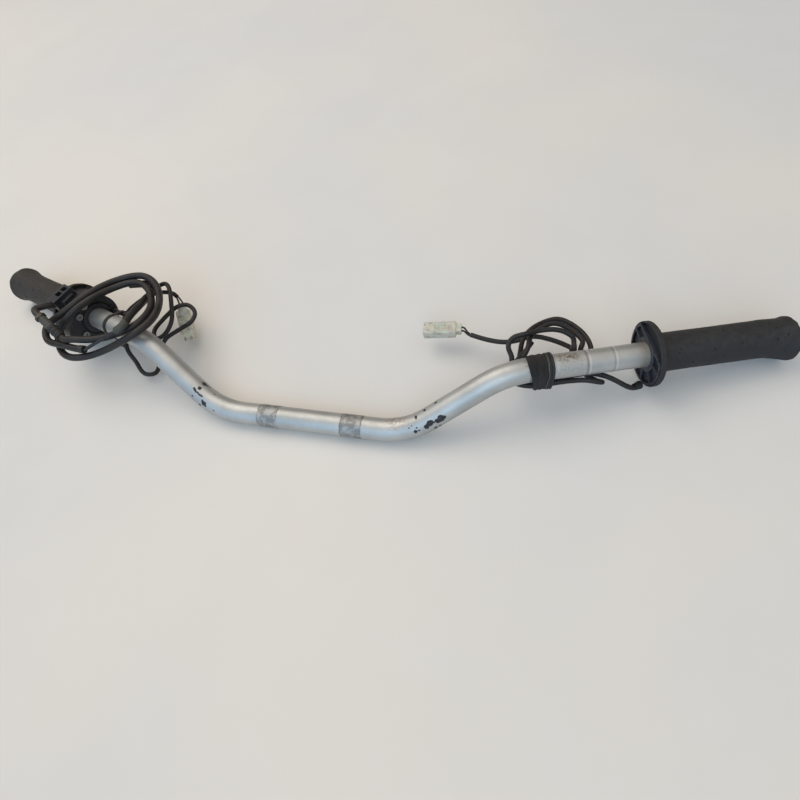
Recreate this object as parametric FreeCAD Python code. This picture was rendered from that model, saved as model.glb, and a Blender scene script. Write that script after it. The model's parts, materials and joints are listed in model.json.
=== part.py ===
import FreeCAD, Part
import math
import os

# Motorcycle handlebar with heated grips and a twist throttle, in millimetres.
# Frame: the origin is on the tube's axis at the middle of the clamp section, +X points to the rider's
# left hand, +Y back towards the rider, +Z up.  The throttle is on the -X side.
# Both outer arms are straight.  A place on an arm is given by its station (distance outboard from the
# arm's corner), and its distances to the front and up from the tube's axis.

# ---- bent tube ----
TUBE_RADIUS = 11.0
TUBE_WALL = 3.0
BEND_RADIUS = 80.0
CENTRE_CORNER_X = 96.6
RISE_LENGTH = 106.6
RISE_SWEEP = 29.2
RISE_CLIMB = 22.95
ARM_SWEEP = 20.6
ARM_CLIMB = -7.3
TUBE_END = 249.0

# ---- grips, stations measured from GRIP_START ----
GRIP_START = 123.2
GRIP_LENGTH = 129.6
CORE_OUTER_RADIUS = 12.6
CORE_LENGTH = 126.4
GLUE_GAP = 0.05
RUNNING_GAP = 0.08
HEATER_START = 14.0
HEATER_END = 112.0
HEATER_INNER_RADIUS = 12.65
HEATER_THICKNESS = 0.4
HEATER_SEAM_DEGREES = 12.0
RUBBER_BORE_RADIUS = 13.1
RUBBER_RADIUS = 16.8
FLARE_RADIUS = 19.8
FLANGE_RADIUS = 29.0
RING_RADIUS = 27.3
RING_THICKNESS = 3.6
RING_FLAT_HEIGHT = 15.0

# ---- throttle housing, stations on the arm ----
HOUSING_INBOARD = 90.0
HOUSING_SPLIT = 104.5
HOUSING_OUTBOARD = 122.4
HOUSING_RADIUS = 25.0
HOUSING_WALL = 3.0
LOBE_CENTRE = (23.0, 1.0)
LOBE_RADIUS = 12.0
SCREW_PLACES = ((3.0, 20.4), (14.0, 15.2), (22.0, -4.5), (-14.6, -14.6))
BOSS_RADIUS = 3.7
SCREW_RADIUS = 1.95
SCREW_HEAD_RADIUS = 3.5
SCREW_HEAD_HEIGHT = 2.2
HEATER_EXIT = (-17.5, -5.0)
DRUM_START = 111.0
DRUM_WIDTH = 8.0
DRUM_RADIUS = 16.0
DRUM_GROOVE_RADIUS = 13.9
DRUM_GROOVE_WIDTH = 3.2
DRUM_MIDDLE = DRUM_START + DRUM_WIDTH / 2
DRUM_NIPPLE_RADIUS = 1.1
DRUM_NIPPLE_ANGLE = 150.0
ELBOW_PLACE = (20.0, 31.5)
ELBOW_DEPTH = 4.0

# ---- cables ----
THROTTLE_CABLE_RADIUS = 3.6
HEATER_CABLE_RADIUS = 2.3
HEATER_WIRE_RADIUS = 0.9
PULL_WIRE_RADIUS = 0.9
WIRE_PITCH_RADIUS = DRUM_GROOVE_RADIUS + PULL_WIRE_RADIUS
LINER_RADIUS = 1.7
ELBOW_RADIUS = 3.6
ELBOW_BORE_RADIUS = 1.4
FIT_GAP = 0.1
NUT_CORNER_RADIUS = 5.6
NUT_LENGTH = 4.0
SLEEVE_RADIUS = 4.5
SLEEVE_LENGTH = 19.0
BOOT_DEPTH = 5.0
FERRULE_RADIUS = 4.1
FERRULE_LENGTH = 5.5
TAIL_FERRULE_LENGTH = 12.0
SHRINK_RADIUS = 4.15
SHRINK_LENGTH = 14.0
LINER_DEPTH = 2.5
WIRE_TRAVEL = 20.0
WIRE_SHOWING = 22.0

# ---- tape, strap and tie around the arms ----
TAPE_START = 25.6
TAPE_END = 33.6
TAPE_THICKNESS = 1.3
STRAP_END = 39.6
STRAP_THICKNESS = 1.8
TIE_STATION = 55.2
TIE_WIDTH = 3.6
TIE_THICKNESS = 1.2
UNDER_ARM = ((2.8, -13.7), (9.0, -12.4), (-5.1, -13.7))
TIE_REAR = (-14.8, 2.4)
TIE_BOTTOM = (4.0, -17.4)

# ---- two-pin connectors ----
CONNECTOR_LENGTH = 37.5
CONNECTOR_WIDTH = 14.4
CONNECTOR_HEIGHT = 9.4
NECK_LENGTH = 6.0
NECK_WIDTH = 8.6
NECK_HEIGHT = 7.0
PIN_OFFSET = 2.1
WIRE_OFFSET = 1.15

ORIGIN = FreeCAD.Vector(0, 0, 0)
X_AXIS = FreeCAD.Vector(1, 0, 0)
Z_AXIS = FreeCAD.Vector(0, 0, 1)


def direction(sweep, climb):
    """Unit vector towards +X, swept back towards +Y and climbing towards +Z by angles in degrees."""
    level = math.cos(math.radians(climb))
    return FreeCAD.Vector(
        level * math.cos(math.radians(sweep)),
        level * math.sin(math.radians(sweep)),
        math.sin(math.radians(climb)),
    )


CENTRE_CORNER = FreeCAD.Vector(CENTRE_CORNER_X, 0, 0)
ARM_CORNER = CENTRE_CORNER + direction(RISE_SWEEP, RISE_CLIMB) * RISE_LENGTH
ARM_OUT = direction(ARM_SWEEP, ARM_CLIMB)
ARM_FRONT = ARM_OUT.cross(Z_AXIS).normalize()
ARM_UP = ARM_FRONT.cross(ARM_OUT).normalize()

# Solids on an arm are drawn with local X up, local Y to the front and local Z outboard.
LEFT_ARM = FreeCAD.Placement(
    FreeCAD.Matrix(
        ARM_UP.x, ARM_FRONT.x, ARM_OUT.x, ARM_CORNER.x,
        ARM_UP.y, ARM_FRONT.y, ARM_OUT.y, ARM_CORNER.y,
        ARM_UP.z, ARM_FRONT.z, ARM_OUT.z, ARM_CORNER.z,
        0, 0, 0, 1,
    )
)


def on_left_arm(shape):
    placed = shape.copy()
    placed.Placement = LEFT_ARM.multiply(placed.Placement)
    return placed


def on_throttle_arm(shape):
    return on_left_arm(shape).mirror(ORIGIN, X_AXIS)


def left(station, front, up):
    """Point near the left arm."""
    return LEFT_ARM.multVec(FreeCAD.Vector(up, front, station))


def throttle(station, front, up):
    """Point near the throttle arm."""
    point = left(station, front, up)
    return FreeCAD.Vector(-point.x, point.y, point.z)


# ---- where the cables run ----
SLEEVE_START = FreeCAD.Vector(-296, 49, 66)
BOOT_END = FreeCAD.Vector(-267, 33, 56)
ADJUSTER_AXIS = (BOOT_END - SLEEVE_START).normalize()
SLEEVE_END = SLEEVE_START + ADJUSTER_AXIS * SLEEVE_LENGTH
LINER_START = FreeCAD.Vector(-238.2, 24.2, 49.2)
LINER_END = FreeCAD.Vector(-196.0, 41.4, 65.5)
LINER_AXIS = (LINER_END - LINER_START).normalize()

# Two and a half turns of the throttle cable, laid flat over the bar and the housing.
THROTTLE_CABLE_RUN = (
    BOOT_END - ADJUSTER_AXIS * BOOT_DEPTH, BOOT_END, BOOT_END + ADJUSTER_AXIS * 3, (-255, 31.6, 54.9),
    (-245, 32.6, 54.5), (-225, 38, 52), (-207, 44, 54), (-188, 51, 59), (-182, 69, 57), (-190, 92, 53),
    (-206, 109, 51), (-224, 115, 50), (-243, 106, 51), (-253, 90, 56), (-264, 70, 59), (-276, 56, 54),
    (-287, 43, 42), (-278, 28, 38), (-258, 20, 39), (-235, 24, 41), (-210, 32, 48), (-182, 43, 59),
    (-173, 60, 58), (-178, 88, 54), (-196, 113, 52), (-220, 124, 51), (-243, 116, 52), (-259, 96, 57),
    (-271, 76, 59), (-287, 59, 55), (-298, 46, 50), (-293, 35, 47.5), (-269, 28, 48.8),
    (-256, 26, 48.6), (-244, 25, 48.8),
)

# Its tail, from the liner up over the bar and down behind the loops.
CABLE_TAIL_RUN = (
    LINER_END - LINER_AXIS * LINER_DEPTH, LINER_END, (-191.9, 46, 66.9), (-191.6, 52, 66.5),
    (-192.4, 60, 64.6), (-195, 77, 58.2), (-201, 94, 48.4), (-204.2, 104, 43.7), (-207, 112.5, 41.7),
    (-210, 119, 41.4), (-215, 122.2, 41), (-220.5, 122, 41), (-226, 121, 41),
)

# Heater cables: folded to and fro along the arms and coiled behind them.
RIGHT_HEATER_RUN = (
    throttle(97, -17.5, -5), throttle(91, -17.5, -5), throttle(85, -17.4, -4.7),
    throttle(74, -15.8, 0.4), throttle(63, -14.8, 2.4), throttle(57, -14.8, 2.4),
    throttle(53.5, -15.8, 2.2), throttle(50.8, -19.5, 1.6), (-222.5, 91, 35), (-222, 98, 33),
    (-219, 109, 33), (-212, 118, 34), (-204, 124, 37), (-197, 125, 39), (-187, 116, 39), (-177, 97, 37),
    (-172, 82, 33), (-176, 71, 27), (-186, 66, 21), (-193, 67, 19), (-197, 73, 20), (-192, 84, 24),
    (-186, 94, 26), (-177, 104, 28), (-168, 107, 28), (-160, 104, 27), (-154, 96, 26), (-156, 88, 24),
    (-164, 83, 21), (-173, 78, 18), (-183, 73, 14), (-191, 69, 7), (-194, 60, 1), (-192, 48, -3),
    (-192, 37, -4), (-199, 33, -2), (-214, 43, 5), (-224, 52, 13), throttle(50, 5, -17.1),
    throttle(57, 4, -17.4), throttle(63, 2.8, -17.4), throttle(71, -2, -17.4), (-248, 86, 14),
    (-247, 98, 16), (-239, 107, 20), (-229, 115, 23), (-217, 120, 26), (-204, 121, 29), (-193, 121, 29),
    (-185, 117.5, 28),
)
LEFT_HEATER_RUN = (
    left(121, 14.5, -25.8), left(113, 17.5, -24), left(102, 14, -19), left(91, 8, -15.2),
    left(76, 3, -13.8), left(58, 2.8, -13.7), left(36, 2.8, -13.7), left(24.5, 2.8, -13.7),
    left(20, 1, -15), left(16.5, -7.5, -17.2), (190.5, 83, 26), (191, 95, 26), (198, 111, 25),
    (209, 121, 24), (220, 125, 24), (231, 122, 23), (242, 114, 22), (249, 104, 22), (252, 96, 20),
    left(76, -11, -12.5), left(62, -5.1, -13.7), left(40, -5.1, -13.7), left(25, -5.1, -13.7),
    left(21.4, -8.6, -13.6), left(19.3, -15.5, -9), (197, 80, 35), (198, 92, 35), (206, 106, 33),
    (218, 114, 31), (229, 112, 29), (238, 106, 28), (244, 98, 27), left(74, -20.6, -5.8),
    left(73, -17.6, -9.6), left(73, -16, -14.2), left(73.5, -11, -18), left(75.5, 0, -20),
    left(79.5, 4.5, -20.4), left(83.5, 8.5, -19.6), left(85.3, 11.6, -17), left(83.5, 13.6, -14),
    left(78.8, 13.2, -12.4), left(70.5, 10.6, -12.2), left(62, 9.2, -12.4), left(36, 9, -12.4),
    left(24.5, 9, -12.4), left(19, 6.5, -14.6), left(8.5, -4.5, -18.5), (183.5, 74, 31), (180, 81, 34),
    (182, 88, 37), (192, 92, 40), (202, 97, 39), (214, 102, 37), (225, 103, 35), (235, 99, 32),
    left(66.5, -21.5, 0.2), left(66, -17.8, -1.3), left(65.7, -16.3, -4.6), left(66, -17.8, -7.9),
    left(66.5, -21.5, -9.4), (235, 99, 16), (225, 105, 14), (212, 109, 14), (199, 110, 14),
    (187, 105, 14), (175, 102, 13), (161, 103, 12), (147, 106, 12), (140, 108, 12),
)

# Connectors: the middle of the neck's rear face, and the direction towards the mouth.
RIGHT_CONNECTOR_REAR = FreeCAD.Vector(-181, 112, 19)
RIGHT_CONNECTOR_AXIS = FreeCAD.Vector(0.33, -0.77, -0.545)
LEFT_CONNECTOR_REAR = FreeCAD.Vector(130, 114, 12)
LEFT_CONNECTOR_AXIS = FreeCAD.Vector(-1.0, -0.13, 0)


def rod(radius, start, end, front=0.0, up=0.0):
    """Cylinder along the arm."""
    return Part.makeCylinder(radius, end - start, FreeCAD.Vector(up, front, start))


def ring(inner_radius, outer_radius, start, end):
    return rod(outer_radius, start, end).cut(rod(inner_radius, start - 1, end + 1))


def block(front_range, up_range, station_range):
    """Box along the arm's own directions."""
    size_up = up_range[1] - up_range[0]
    size_front = front_range[1] - front_range[0]
    size_out = station_range[1] - station_range[0]
    corner = FreeCAD.Vector(up_range[0], front_range[0], station_range[0])
    return Part.makeBox(size_up, size_front, size_out, corner)


def straight_rod(radius, start, end):
    axis = end - start
    return Part.makeCylinder(radius, axis.Length, start, axis)


def hull_prism(circles, start, end):
    """Prism along the arm around circles given as (front, up, radius), like a belt pulled tight."""
    middle_front = sum(front for front, up, radius in circles) / len(circles)
    middle_up = sum(up for front, up, radius in circles) / len(circles)
    ordered = sorted(circles, key=lambda c: math.atan2(c[0] - middle_front, c[1] - middle_up))
    touches = []
    for index, (front, up, radius) in enumerate(ordered):
        next_front, next_up, next_radius = ordered[(index + 1) % len(ordered)]
        step = FreeCAD.Vector(next_up - up, next_front - front, 0)
        cosine = (radius - next_radius) / step.Length
        step.normalize()
        outward = step * cosine + step.cross(Z_AXIS) * math.sqrt(1 - cosine * cosine)
        touches.append(outward)
    edges = []
    for index, (front, up, radius) in enumerate(ordered):
        next_front, next_up, next_radius = ordered[(index + 1) % len(ordered)]
        centre = FreeCAD.Vector(up, front, start)
        arriving = touches[index - 1]
        leaving = touches[index]
        first_angle = math.atan2(arriving.y, arriving.x)
        turn = (math.atan2(leaving.y, leaving.x) - first_angle) % (2 * math.pi)
        halfway = first_angle + turn / 2
        middle = FreeCAD.Vector(math.cos(halfway), math.sin(halfway), 0)
        arc = Part.Arc(centre + arriving * radius, centre + middle * radius, centre + leaving * radius)
        next_centre = FreeCAD.Vector(next_up, next_front, start)
        belt = Part.LineSegment(centre + leaving * radius, next_centre + leaving * next_radius)
        edges += [arc.toShape(), belt.toShape()]
    return Part.Face(Part.Wire(edges)).extrude(FreeCAD.Vector(0, 0, end - start))


def turned(outline):
    """Solid of revolution about the arm's axis from (radius, station) points and arcs of three points."""
    edges = []
    for piece in outline:
        points = [FreeCAD.Vector(radius, 0, station) for radius, station in piece]
        if len(points) == 3:
            edges.append(Part.Arc(*points).toShape())
        else:
            edges.append(Part.LineSegment(*points).toShape())
    return Part.Face(Part.Wire(edges)).revolve(ORIGIN, Z_AXIS, 360)


def rounded_path(corners, radius):
    """Wire of straight runs joined by bends of one radius."""
    edges = []
    previous = corners[0]
    for before, corner, after in zip(corners, corners[1:], corners[2:]):
        to_before = (before - corner).normalize()
        to_after = (after - corner).normalize()
        half_angle = to_before.getAngle(to_after) / 2
        setback = radius / math.tan(half_angle)
        centre = corner + (to_before + to_after).normalize() * (radius / math.sin(half_angle))
        first = corner + to_before * setback
        last = corner + to_after * setback
        middle = centre + (corner - centre).normalize() * radius
        edges.append(Part.LineSegment(previous, first).toShape())
        edges.append(Part.Arc(first, middle, last).toShape())
        previous = last
    edges.append(Part.LineSegment(previous, corners[-1]).toShape())
    return Part.Wire(edges)


def smooth_path(points):
    """Curve through the points, cut into stretches, from vectors or (x, y, z) places in the part's frame."""
    curve = Part.BSplineCurve()
    curve.interpolate([FreeCAD.Vector(*point) for point in points])
    knots = curve.getKnots()
    cuts = [knots[0]] + knots[4:-2:4] + [knots[-1]]
    return Part.Wire([curve.toShape(first, last) for first, last in zip(cuts, cuts[1:])])


def swept(path, radius):
    """Round solid along a path."""
    first_edge = path.Edges[0]
    start = first_edge.valueAt(first_edge.FirstParameter)
    heading = first_edge.tangentAt(first_edge.FirstParameter)
    circle = Part.Wire([Part.Circle(start, heading, radius).toShape()])
    return path.makePipeShell([circle], True, True)


# ---------------------------------------------------------------- bar

def handlebar_tube():
    corners = [CENTRE_CORNER, ARM_CORNER, ARM_CORNER + ARM_OUT * TUBE_END]
    mirrored = [FreeCAD.Vector(-corner.x, corner.y, corner.z) for corner in reversed(corners)]
    path = rounded_path(mirrored + corners, BEND_RADIUS)
    return swept(path, TUBE_RADIUS).cut(swept(path, TUBE_RADIUS - TUBE_WALL))


# ---------------------------------------------------------------- grips

def flange_ring(bore_radius):
    """Plastic ring at the grip's inboard end, with a flat on top, a hub and ribbed pockets."""
    start = GRIP_START
    end = GRIP_START + RING_THICKNESS
    body = ring(bore_radius, RING_RADIUS, start, end)
    body = body.cut(block((-40, 40), (RING_FLAT_HEIGHT, 40), (start - 1, end + 1)))
    pocket_floor = start + 2.0
    pockets = ring(15.5, 25.3, start - 1, pocket_floor)
    for angle in range(0, 360, 40):
        rib = block((-1.1, 1.1), (14, 26), (start - 1, pocket_floor))
        rib.rotate(ORIGIN, Z_AXIS, angle)
        pockets = pockets.cut(rib)
    pockets = pockets.cut(block((-40, 40), (RING_FLAT_HEIGHT - 2, 40), (start - 1, pocket_floor)))
    return body.cut(pockets)


def grip_core(bore_radius):
    """Plastic sleeve that carries the rubber, with the flange ring at its inboard end."""
    sleeve = ring(bore_radius, CORE_OUTER_RADIUS, GRIP_START, GRIP_START + CORE_LENGTH)
    return sleeve.fuse(flange_ring(bore_radius)).removeSplitter()


def heater_element():
    """Heating foil rolled around the sleeve, with an open seam underneath."""
    outer_radius = HEATER_INNER_RADIUS + HEATER_THICKNESS
    start = GRIP_START + HEATER_START
    end = GRIP_START + HEATER_END
    foil = ring(HEATER_INNER_RADIUS, outer_radius, start, end)
    seam_half = outer_radius * math.sin(math.radians(HEATER_SEAM_DEGREES / 2))
    return foil.cut(block((-seam_half, seam_half), (-20, 0), (start - 1, end + 1)))


def grip_rubber():
    """Closed rubber grip with a cupped flange, a slim waist and an end that flares to a rim."""
    z = GRIP_START
    cup_floor = z + RING_THICKNESS + GLUE_GAP
    end = z + GRIP_LENGTH
    bore_end = z + CORE_LENGTH + 0.3
    outline = (
        ((RUBBER_BORE_RADIUS, cup_floor), (RING_RADIUS + 0.2, cup_floor)),
        ((RING_RADIUS + 0.2, cup_floor), (RING_RADIUS + 0.2, z + 0.8)),
        ((RING_RADIUS + 0.2, z + 0.8), (FLANGE_RADIUS, z + 0.8)),
        ((FLANGE_RADIUS, z + 0.8), (FLANGE_RADIUS, z + 5.2)),
        ((FLANGE_RADIUS, z + 5.2), (FLANGE_RADIUS - 0.5, z + 6.0), (FLANGE_RADIUS - 1.8, z + 6.4)),
        ((FLANGE_RADIUS - 1.8, z + 6.4), (19.6, z + 9.0), (RUBBER_RADIUS + 0.3, z + 16.0)),
        ((RUBBER_RADIUS + 0.3, z + 16.0), (RUBBER_RADIUS, z + 98.0)),
        ((RUBBER_RADIUS, z + 98.0), (RUBBER_RADIUS + 0.8, z + 114.0), (FLARE_RADIUS, z + 126.0)),
        ((FLARE_RADIUS, z + 126.0), (FLARE_RADIUS - 0.4, z + 128.4), (FLARE_RADIUS - 2.0, end)),
        ((FLARE_RADIUS - 2.0, end), (0, end)),
        ((0, end), (0, bore_end)),
        ((0, bore_end), (RUBBER_BORE_RADIUS, bore_end)),
        ((RUBBER_BORE_RADIUS, bore_end), (RUBBER_BORE_RADIUS, cup_floor)),
    )
    body = turned(outline)
    for angle in (-34, 0, 34):
        slot = block((-5.5, 5.5), (17.5, 23.5), (z, cup_floor + 1.8))
        slot.rotate(ORIGIN, Z_AXIS, angle)
        body = body.cut(slot)
    return body


# ---------------------------------------------------------------- throttle mechanism

def throttle_tube():
    """Sleeve that turns on the bar, with the cable drum inside the housing."""
    bore_radius = TUBE_RADIUS + RUNNING_GAP
    inboard = ring(bore_radius, CORE_OUTER_RADIUS, DRUM_START - 4, GRIP_START)
    drum = ring(bore_radius, DRUM_RADIUS, DRUM_START, DRUM_START + DRUM_WIDTH)
    groove_start = DRUM_START + (DRUM_WIDTH - DRUM_GROOVE_WIDTH) / 2
    groove = ring(DRUM_GROOVE_RADIUS, DRUM_RADIUS + 1, groove_start, groove_start + DRUM_GROOVE_WIDTH)
    pocket = drum_nipple_rod(DRUM_NIPPLE_RADIUS + FIT_GAP, FIT_GAP)
    body = grip_core(bore_radius).fuse(inboard).fuse(drum).removeSplitter()
    return body.cut(groove).cut(pocket)


def drum_nipple_rod(radius, extra):
    """Barrel across the drum at the wire's pitch radius; angles turn from the front to the top."""
    angle = math.radians(DRUM_NIPPLE_ANGLE)
    front = (WIRE_PITCH_RADIUS - 0.2) * math.cos(angle)
    up = (WIRE_PITCH_RADIUS - 0.2) * math.sin(angle)
    half = 2.6 + extra
    return rod(radius, DRUM_MIDDLE - half, DRUM_MIDDLE + half, front, up)


def drum_nipple():
    return drum_nipple_rod(DRUM_NIPPLE_RADIUS, 0.0)


def housing_outline(inset, start, end):
    """Housing's round body with its front lobe."""
    lobe_front, lobe_up = LOBE_CENTRE
    circles = ((0, 0, HOUSING_RADIUS - inset), (lobe_front, lobe_up, LOBE_RADIUS - inset))
    return hull_prism(circles, start, end)


def housing_cavity():
    """Hollow for the drum, with the screw bosses left standing."""
    cavity = housing_outline(HOUSING_WALL, HOUSING_INBOARD + 3, HOUSING_OUTBOARD - 2.6)
    for front, up in SCREW_PLACES:
        cavity = cavity.cut(rod(BOSS_RADIUS, HOUSING_INBOARD, HOUSING_OUTBOARD, front, up))
    return cavity


def throttle_housing_cover():
    """Inboard half, with the bar collar, the heater cable exit and the screw holes."""
    body = housing_outline(0, HOUSING_INBOARD, HOUSING_SPLIT)
    body = body.fuse(ring(TUBE_RADIUS, 16.0, HOUSING_INBOARD - 2.2, HOUSING_INBOARD + 1))
    body = body.cut(ring(16.0, 17.4, HOUSING_INBOARD - 1, HOUSING_INBOARD + 1))
    body = body.cut(housing_cavity())
    body = body.cut(rod(TUBE_RADIUS + GLUE_GAP, HOUSING_INBOARD - 5, HOUSING_SPLIT + 1))
    exit_front, exit_up = HEATER_EXIT
    body = body.cut(rod(3.55, HOUSING_INBOARD - 1, HOUSING_INBOARD + 4, exit_front, exit_up))
    body = body.cut(rod(4.9, HOUSING_INBOARD - 5, HOUSING_INBOARD, exit_front, exit_up))
    for front, up in SCREW_PLACES:
        body = body.cut(rod(SCREW_RADIUS + 0.25, HOUSING_INBOARD - 3, HOUSING_SPLIT + 1, front, up))
    return body.removeSplitter()


def wire_run_angle():
    """Angle on the drum where the pull wire leaves it towards the elbow, from the front to the top."""
    front, up = ELBOW_PLACE
    reach = math.hypot(front, up)
    return math.atan2(up, front) + math.acos(WIRE_PITCH_RADIUS / reach)


def wire_run_points():
    """Where the wire leaves the drum, and where it enters the elbow, as arm-local points."""
    angle = wire_run_angle()
    front = WIRE_PITCH_RADIUS * math.cos(angle)
    up = WIRE_PITCH_RADIUS * math.sin(angle)
    leaving = FreeCAD.Vector(up, front, DRUM_MIDDLE)
    entering = FreeCAD.Vector(ELBOW_PLACE[1], ELBOW_PLACE[0], DRUM_MIDDLE)
    return leaving, entering


def throttle_housing_body():
    """Outboard half, with the cable block on top and the socket for the elbow."""
    body = housing_outline(0, HOUSING_SPLIT, HOUSING_OUTBOARD)
    body = body.fuse(block((-6, 19), (12, 35.5), (108, HOUSING_OUTBOARD)))
    body = body.fuse(block((-2, 12), (12, 30), (HOUSING_SPLIT + 1, HOUSING_OUTBOARD)))
    body = body.cut(housing_cavity())
    for front in (-3.2, 4.6):
        body = body.cut(block((front, front + 5.2), (30.5, 40), (110.5, 119.5)))
    body = body.cut(rod(CORE_OUTER_RADIUS + RUNNING_GAP, HOUSING_SPLIT - 1, HOUSING_OUTBOARD + 1))
    body = body.cut(rod(TUBE_RADIUS + GLUE_GAP, HOUSING_SPLIT - 1, HOUSING_OUTBOARD + 1))
    for front, up in SCREW_PLACES:
        body = body.cut(rod(SCREW_RADIUS + GLUE_GAP, HOUSING_SPLIT - 1, HOUSING_SPLIT + 8, front, up))
    leaving, entering = wire_run_points()
    heading = (entering - leaving).normalize()
    body = body.cut(straight_rod(1.5, leaving + heading * 4, entering + heading * 6))
    socket_start = entering - heading * (ELBOW_DEPTH + 0.5)
    body = body.cut(straight_rod(ELBOW_RADIUS + 0.3, socket_start, entering + heading * 9))
    return body.removeSplitter()


def housing_screws():
    """Four pan-head screws with cross slots, driven from the inboard side."""
    screws = []
    head_start = HOUSING_INBOARD - SCREW_HEAD_HEIGHT
    for front, up in SCREW_PLACES:
        shank = rod(SCREW_RADIUS, HOUSING_INBOARD - 0.5, HOUSING_SPLIT + 7, front, up)
        head = rod(SCREW_HEAD_RADIUS, head_start, HOUSING_INBOARD, front, up)
        screw = shank.fuse(head)
        for half_front, half_up in ((2.2, 0.4), (0.4, 2.2)):
            slot = block(
                (front - half_front, front + half_front),
                (up - half_up, up + half_up),
                (head_start - 1, head_start + 1.2),
            )
            screw = screw.cut(slot)
        screws.append(screw.removeSplitter())
    return Part.makeCompound(screws)


def drum_wire():
    """Stretch of pull wire between the drum and the elbow."""
    leaving, entering = wire_run_points()
    heading = (entering - leaving).normalize()
    return straight_rod(PULL_WIRE_RADIUS, leaving, entering - heading * ELBOW_DEPTH)


# ---------------------------------------------------------------- throttle cable

def throttle_world(local_point):
    """Arm-local point carried to the throttle arm."""
    point = LEFT_ARM.multVec(local_point)
    return FreeCAD.Vector(-point.x, point.y, point.z)


def path_end(points):
    """End point of a cable run and the direction in which the cable leaves it."""
    edge = smooth_path(points).Edges[-1]
    return edge.valueAt(edge.LastParameter), edge.tangentAt(edge.LastParameter)


def cable_elbow():
    """Bent steel pipe from the housing's socket to the adjuster."""
    leaving, entering = wire_run_points()
    heading = (entering - leaving).normalize()
    first = throttle_world(entering - heading * ELBOW_DEPTH)
    second = throttle_world(entering + heading * 3)
    third = throttle_world(entering + heading * 8)
    path = smooth_path((first, second, third, (-306, 57, 66.4), (-302, 52.6, 67.4), SLEEVE_START))
    return swept(path, ELBOW_RADIUS).cut(swept(path, ELBOW_BORE_RADIUS))


def adjuster_nut():
    """Hexagonal nut where the elbow meets the adjuster."""
    axis = ADJUSTER_AXIS
    outline = Part.makePolygon(hexagon(SLEEVE_START, axis, NUT_CORNER_RADIUS))
    nut = Part.Face(Part.Wire(outline)).extrude(axis * NUT_LENGTH)
    bore = straight_rod(ELBOW_BORE_RADIUS, SLEEVE_START - axis, SLEEVE_START + axis * (NUT_LENGTH + 1))
    return nut.cut(bore)


def hexagon(centre, axis, corner_radius):
    side = axis.cross(Z_AXIS).normalize()
    over = axis.cross(side)
    points = []
    for step in range(7):
        angle = math.radians(60 * step)
        points.append(centre + (side * math.cos(angle) + over * math.sin(angle)) * corner_radius)
    return points


def adjuster_sleeve():
    axis = ADJUSTER_AXIS
    start = SLEEVE_START + axis * NUT_LENGTH
    bore = straight_rod(ELBOW_BORE_RADIUS, start - axis, SLEEVE_END + axis)
    return straight_rod(SLEEVE_RADIUS, start, SLEEVE_END).cut(bore)


def adjuster_boot():
    """Ribbed rubber boot tapering onto the cable."""
    axis = ADJUSTER_AXIS
    length = (BOOT_END - SLEEVE_END).Length
    boot = Part.makeCone(5.0, 4.7, length, SLEEVE_END, axis)
    for index in range(3):
        middle = SLEEVE_END + axis * (length * (index + 0.6) / 3.2)
        boot = boot.fuse(straight_rod(5.4, middle - axis * 0.8, middle + axis * 0.8))
    boot = boot.cut(straight_rod(ELBOW_BORE_RADIUS, SLEEVE_END - axis, BOOT_END + axis))
    bore_start = BOOT_END - axis * (BOOT_DEPTH + 0.8)
    boot = boot.cut(straight_rod(THROTTLE_CABLE_RADIUS + 0.4, bore_start, BOOT_END + axis))
    return boot.removeSplitter()


def throttle_cable_jacket():
    return swept(smooth_path(THROTTLE_CABLE_RUN), THROTTLE_CABLE_RADIUS)


def cable_ferrule():
    """Metal collar on the end of the cable's jacket, where the liner shows."""
    end, heading = path_end(THROTTLE_CABLE_RUN)
    collar = straight_rod(FERRULE_RADIUS, end, end + heading * FERRULE_LENGTH)
    return collar.cut(straight_rod(LINER_RADIUS + 0.3, end + heading * 1.5, end + heading * 9))


def cable_liner():
    """Slim liner from the first jacket's ferrule into the start of the tail."""
    return straight_rod(LINER_RADIUS, LINER_START, LINER_END)


def cable_tail_jacket():
    """Tail of the cable, bored for the liner at its start and for the sliding wire at its end."""
    end, heading = path_end(CABLE_TAIL_RUN)
    jacket = swept(smooth_path(CABLE_TAIL_RUN), THROTTLE_CABLE_RADIUS)
    wire_room = WIRE_TRAVEL + 2.0 - TAIL_FERRULE_LENGTH
    jacket = jacket.cut(straight_rod(PULL_WIRE_RADIUS + 0.3, end - heading * wire_room, end + heading))
    liner_start = LINER_END - LINER_AXIS * (LINER_DEPTH + 4)
    return jacket.cut(straight_rod(LINER_RADIUS + FIT_GAP, liner_start, LINER_END + LINER_AXIS * 0.3))


def shrink_sleeve():
    """Heat-shrink sleeve on the start of the tail."""
    path = smooth_path(CABLE_TAIL_RUN)
    reach = Part.makeSphere(SHRINK_LENGTH, FreeCAD.Vector(*CABLE_TAIL_RUN[0]))
    outer = swept(path, SHRINK_RADIUS).common(reach)
    return outer.cut(swept(path, THROTTLE_CABLE_RADIUS + GLUE_GAP))


def tail_ferrule():
    end, heading = path_end(CABLE_TAIL_RUN)
    collar = straight_rod(FERRULE_RADIUS, end, end + heading * TAIL_FERRULE_LENGTH)
    return collar.cut(straight_rod(PULL_WIRE_RADIUS + 0.06, end - heading, end + heading * 20))


def pull_wire():
    """Free end of the pull wire, with its barrel nipple."""
    end, heading = path_end(CABLE_TAIL_RUN)
    mouth = end + heading * TAIL_FERRULE_LENGTH
    tip = mouth + heading * WIRE_SHOWING
    wire = straight_rod(PULL_WIRE_RADIUS, mouth - heading * 1.0, tip)
    nipple = straight_rod(2.6, tip - heading * 0.5, tip + heading * 4.5)
    return wire.fuse(nipple).removeSplitter()


# ---------------------------------------------------------------- heater cables

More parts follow.
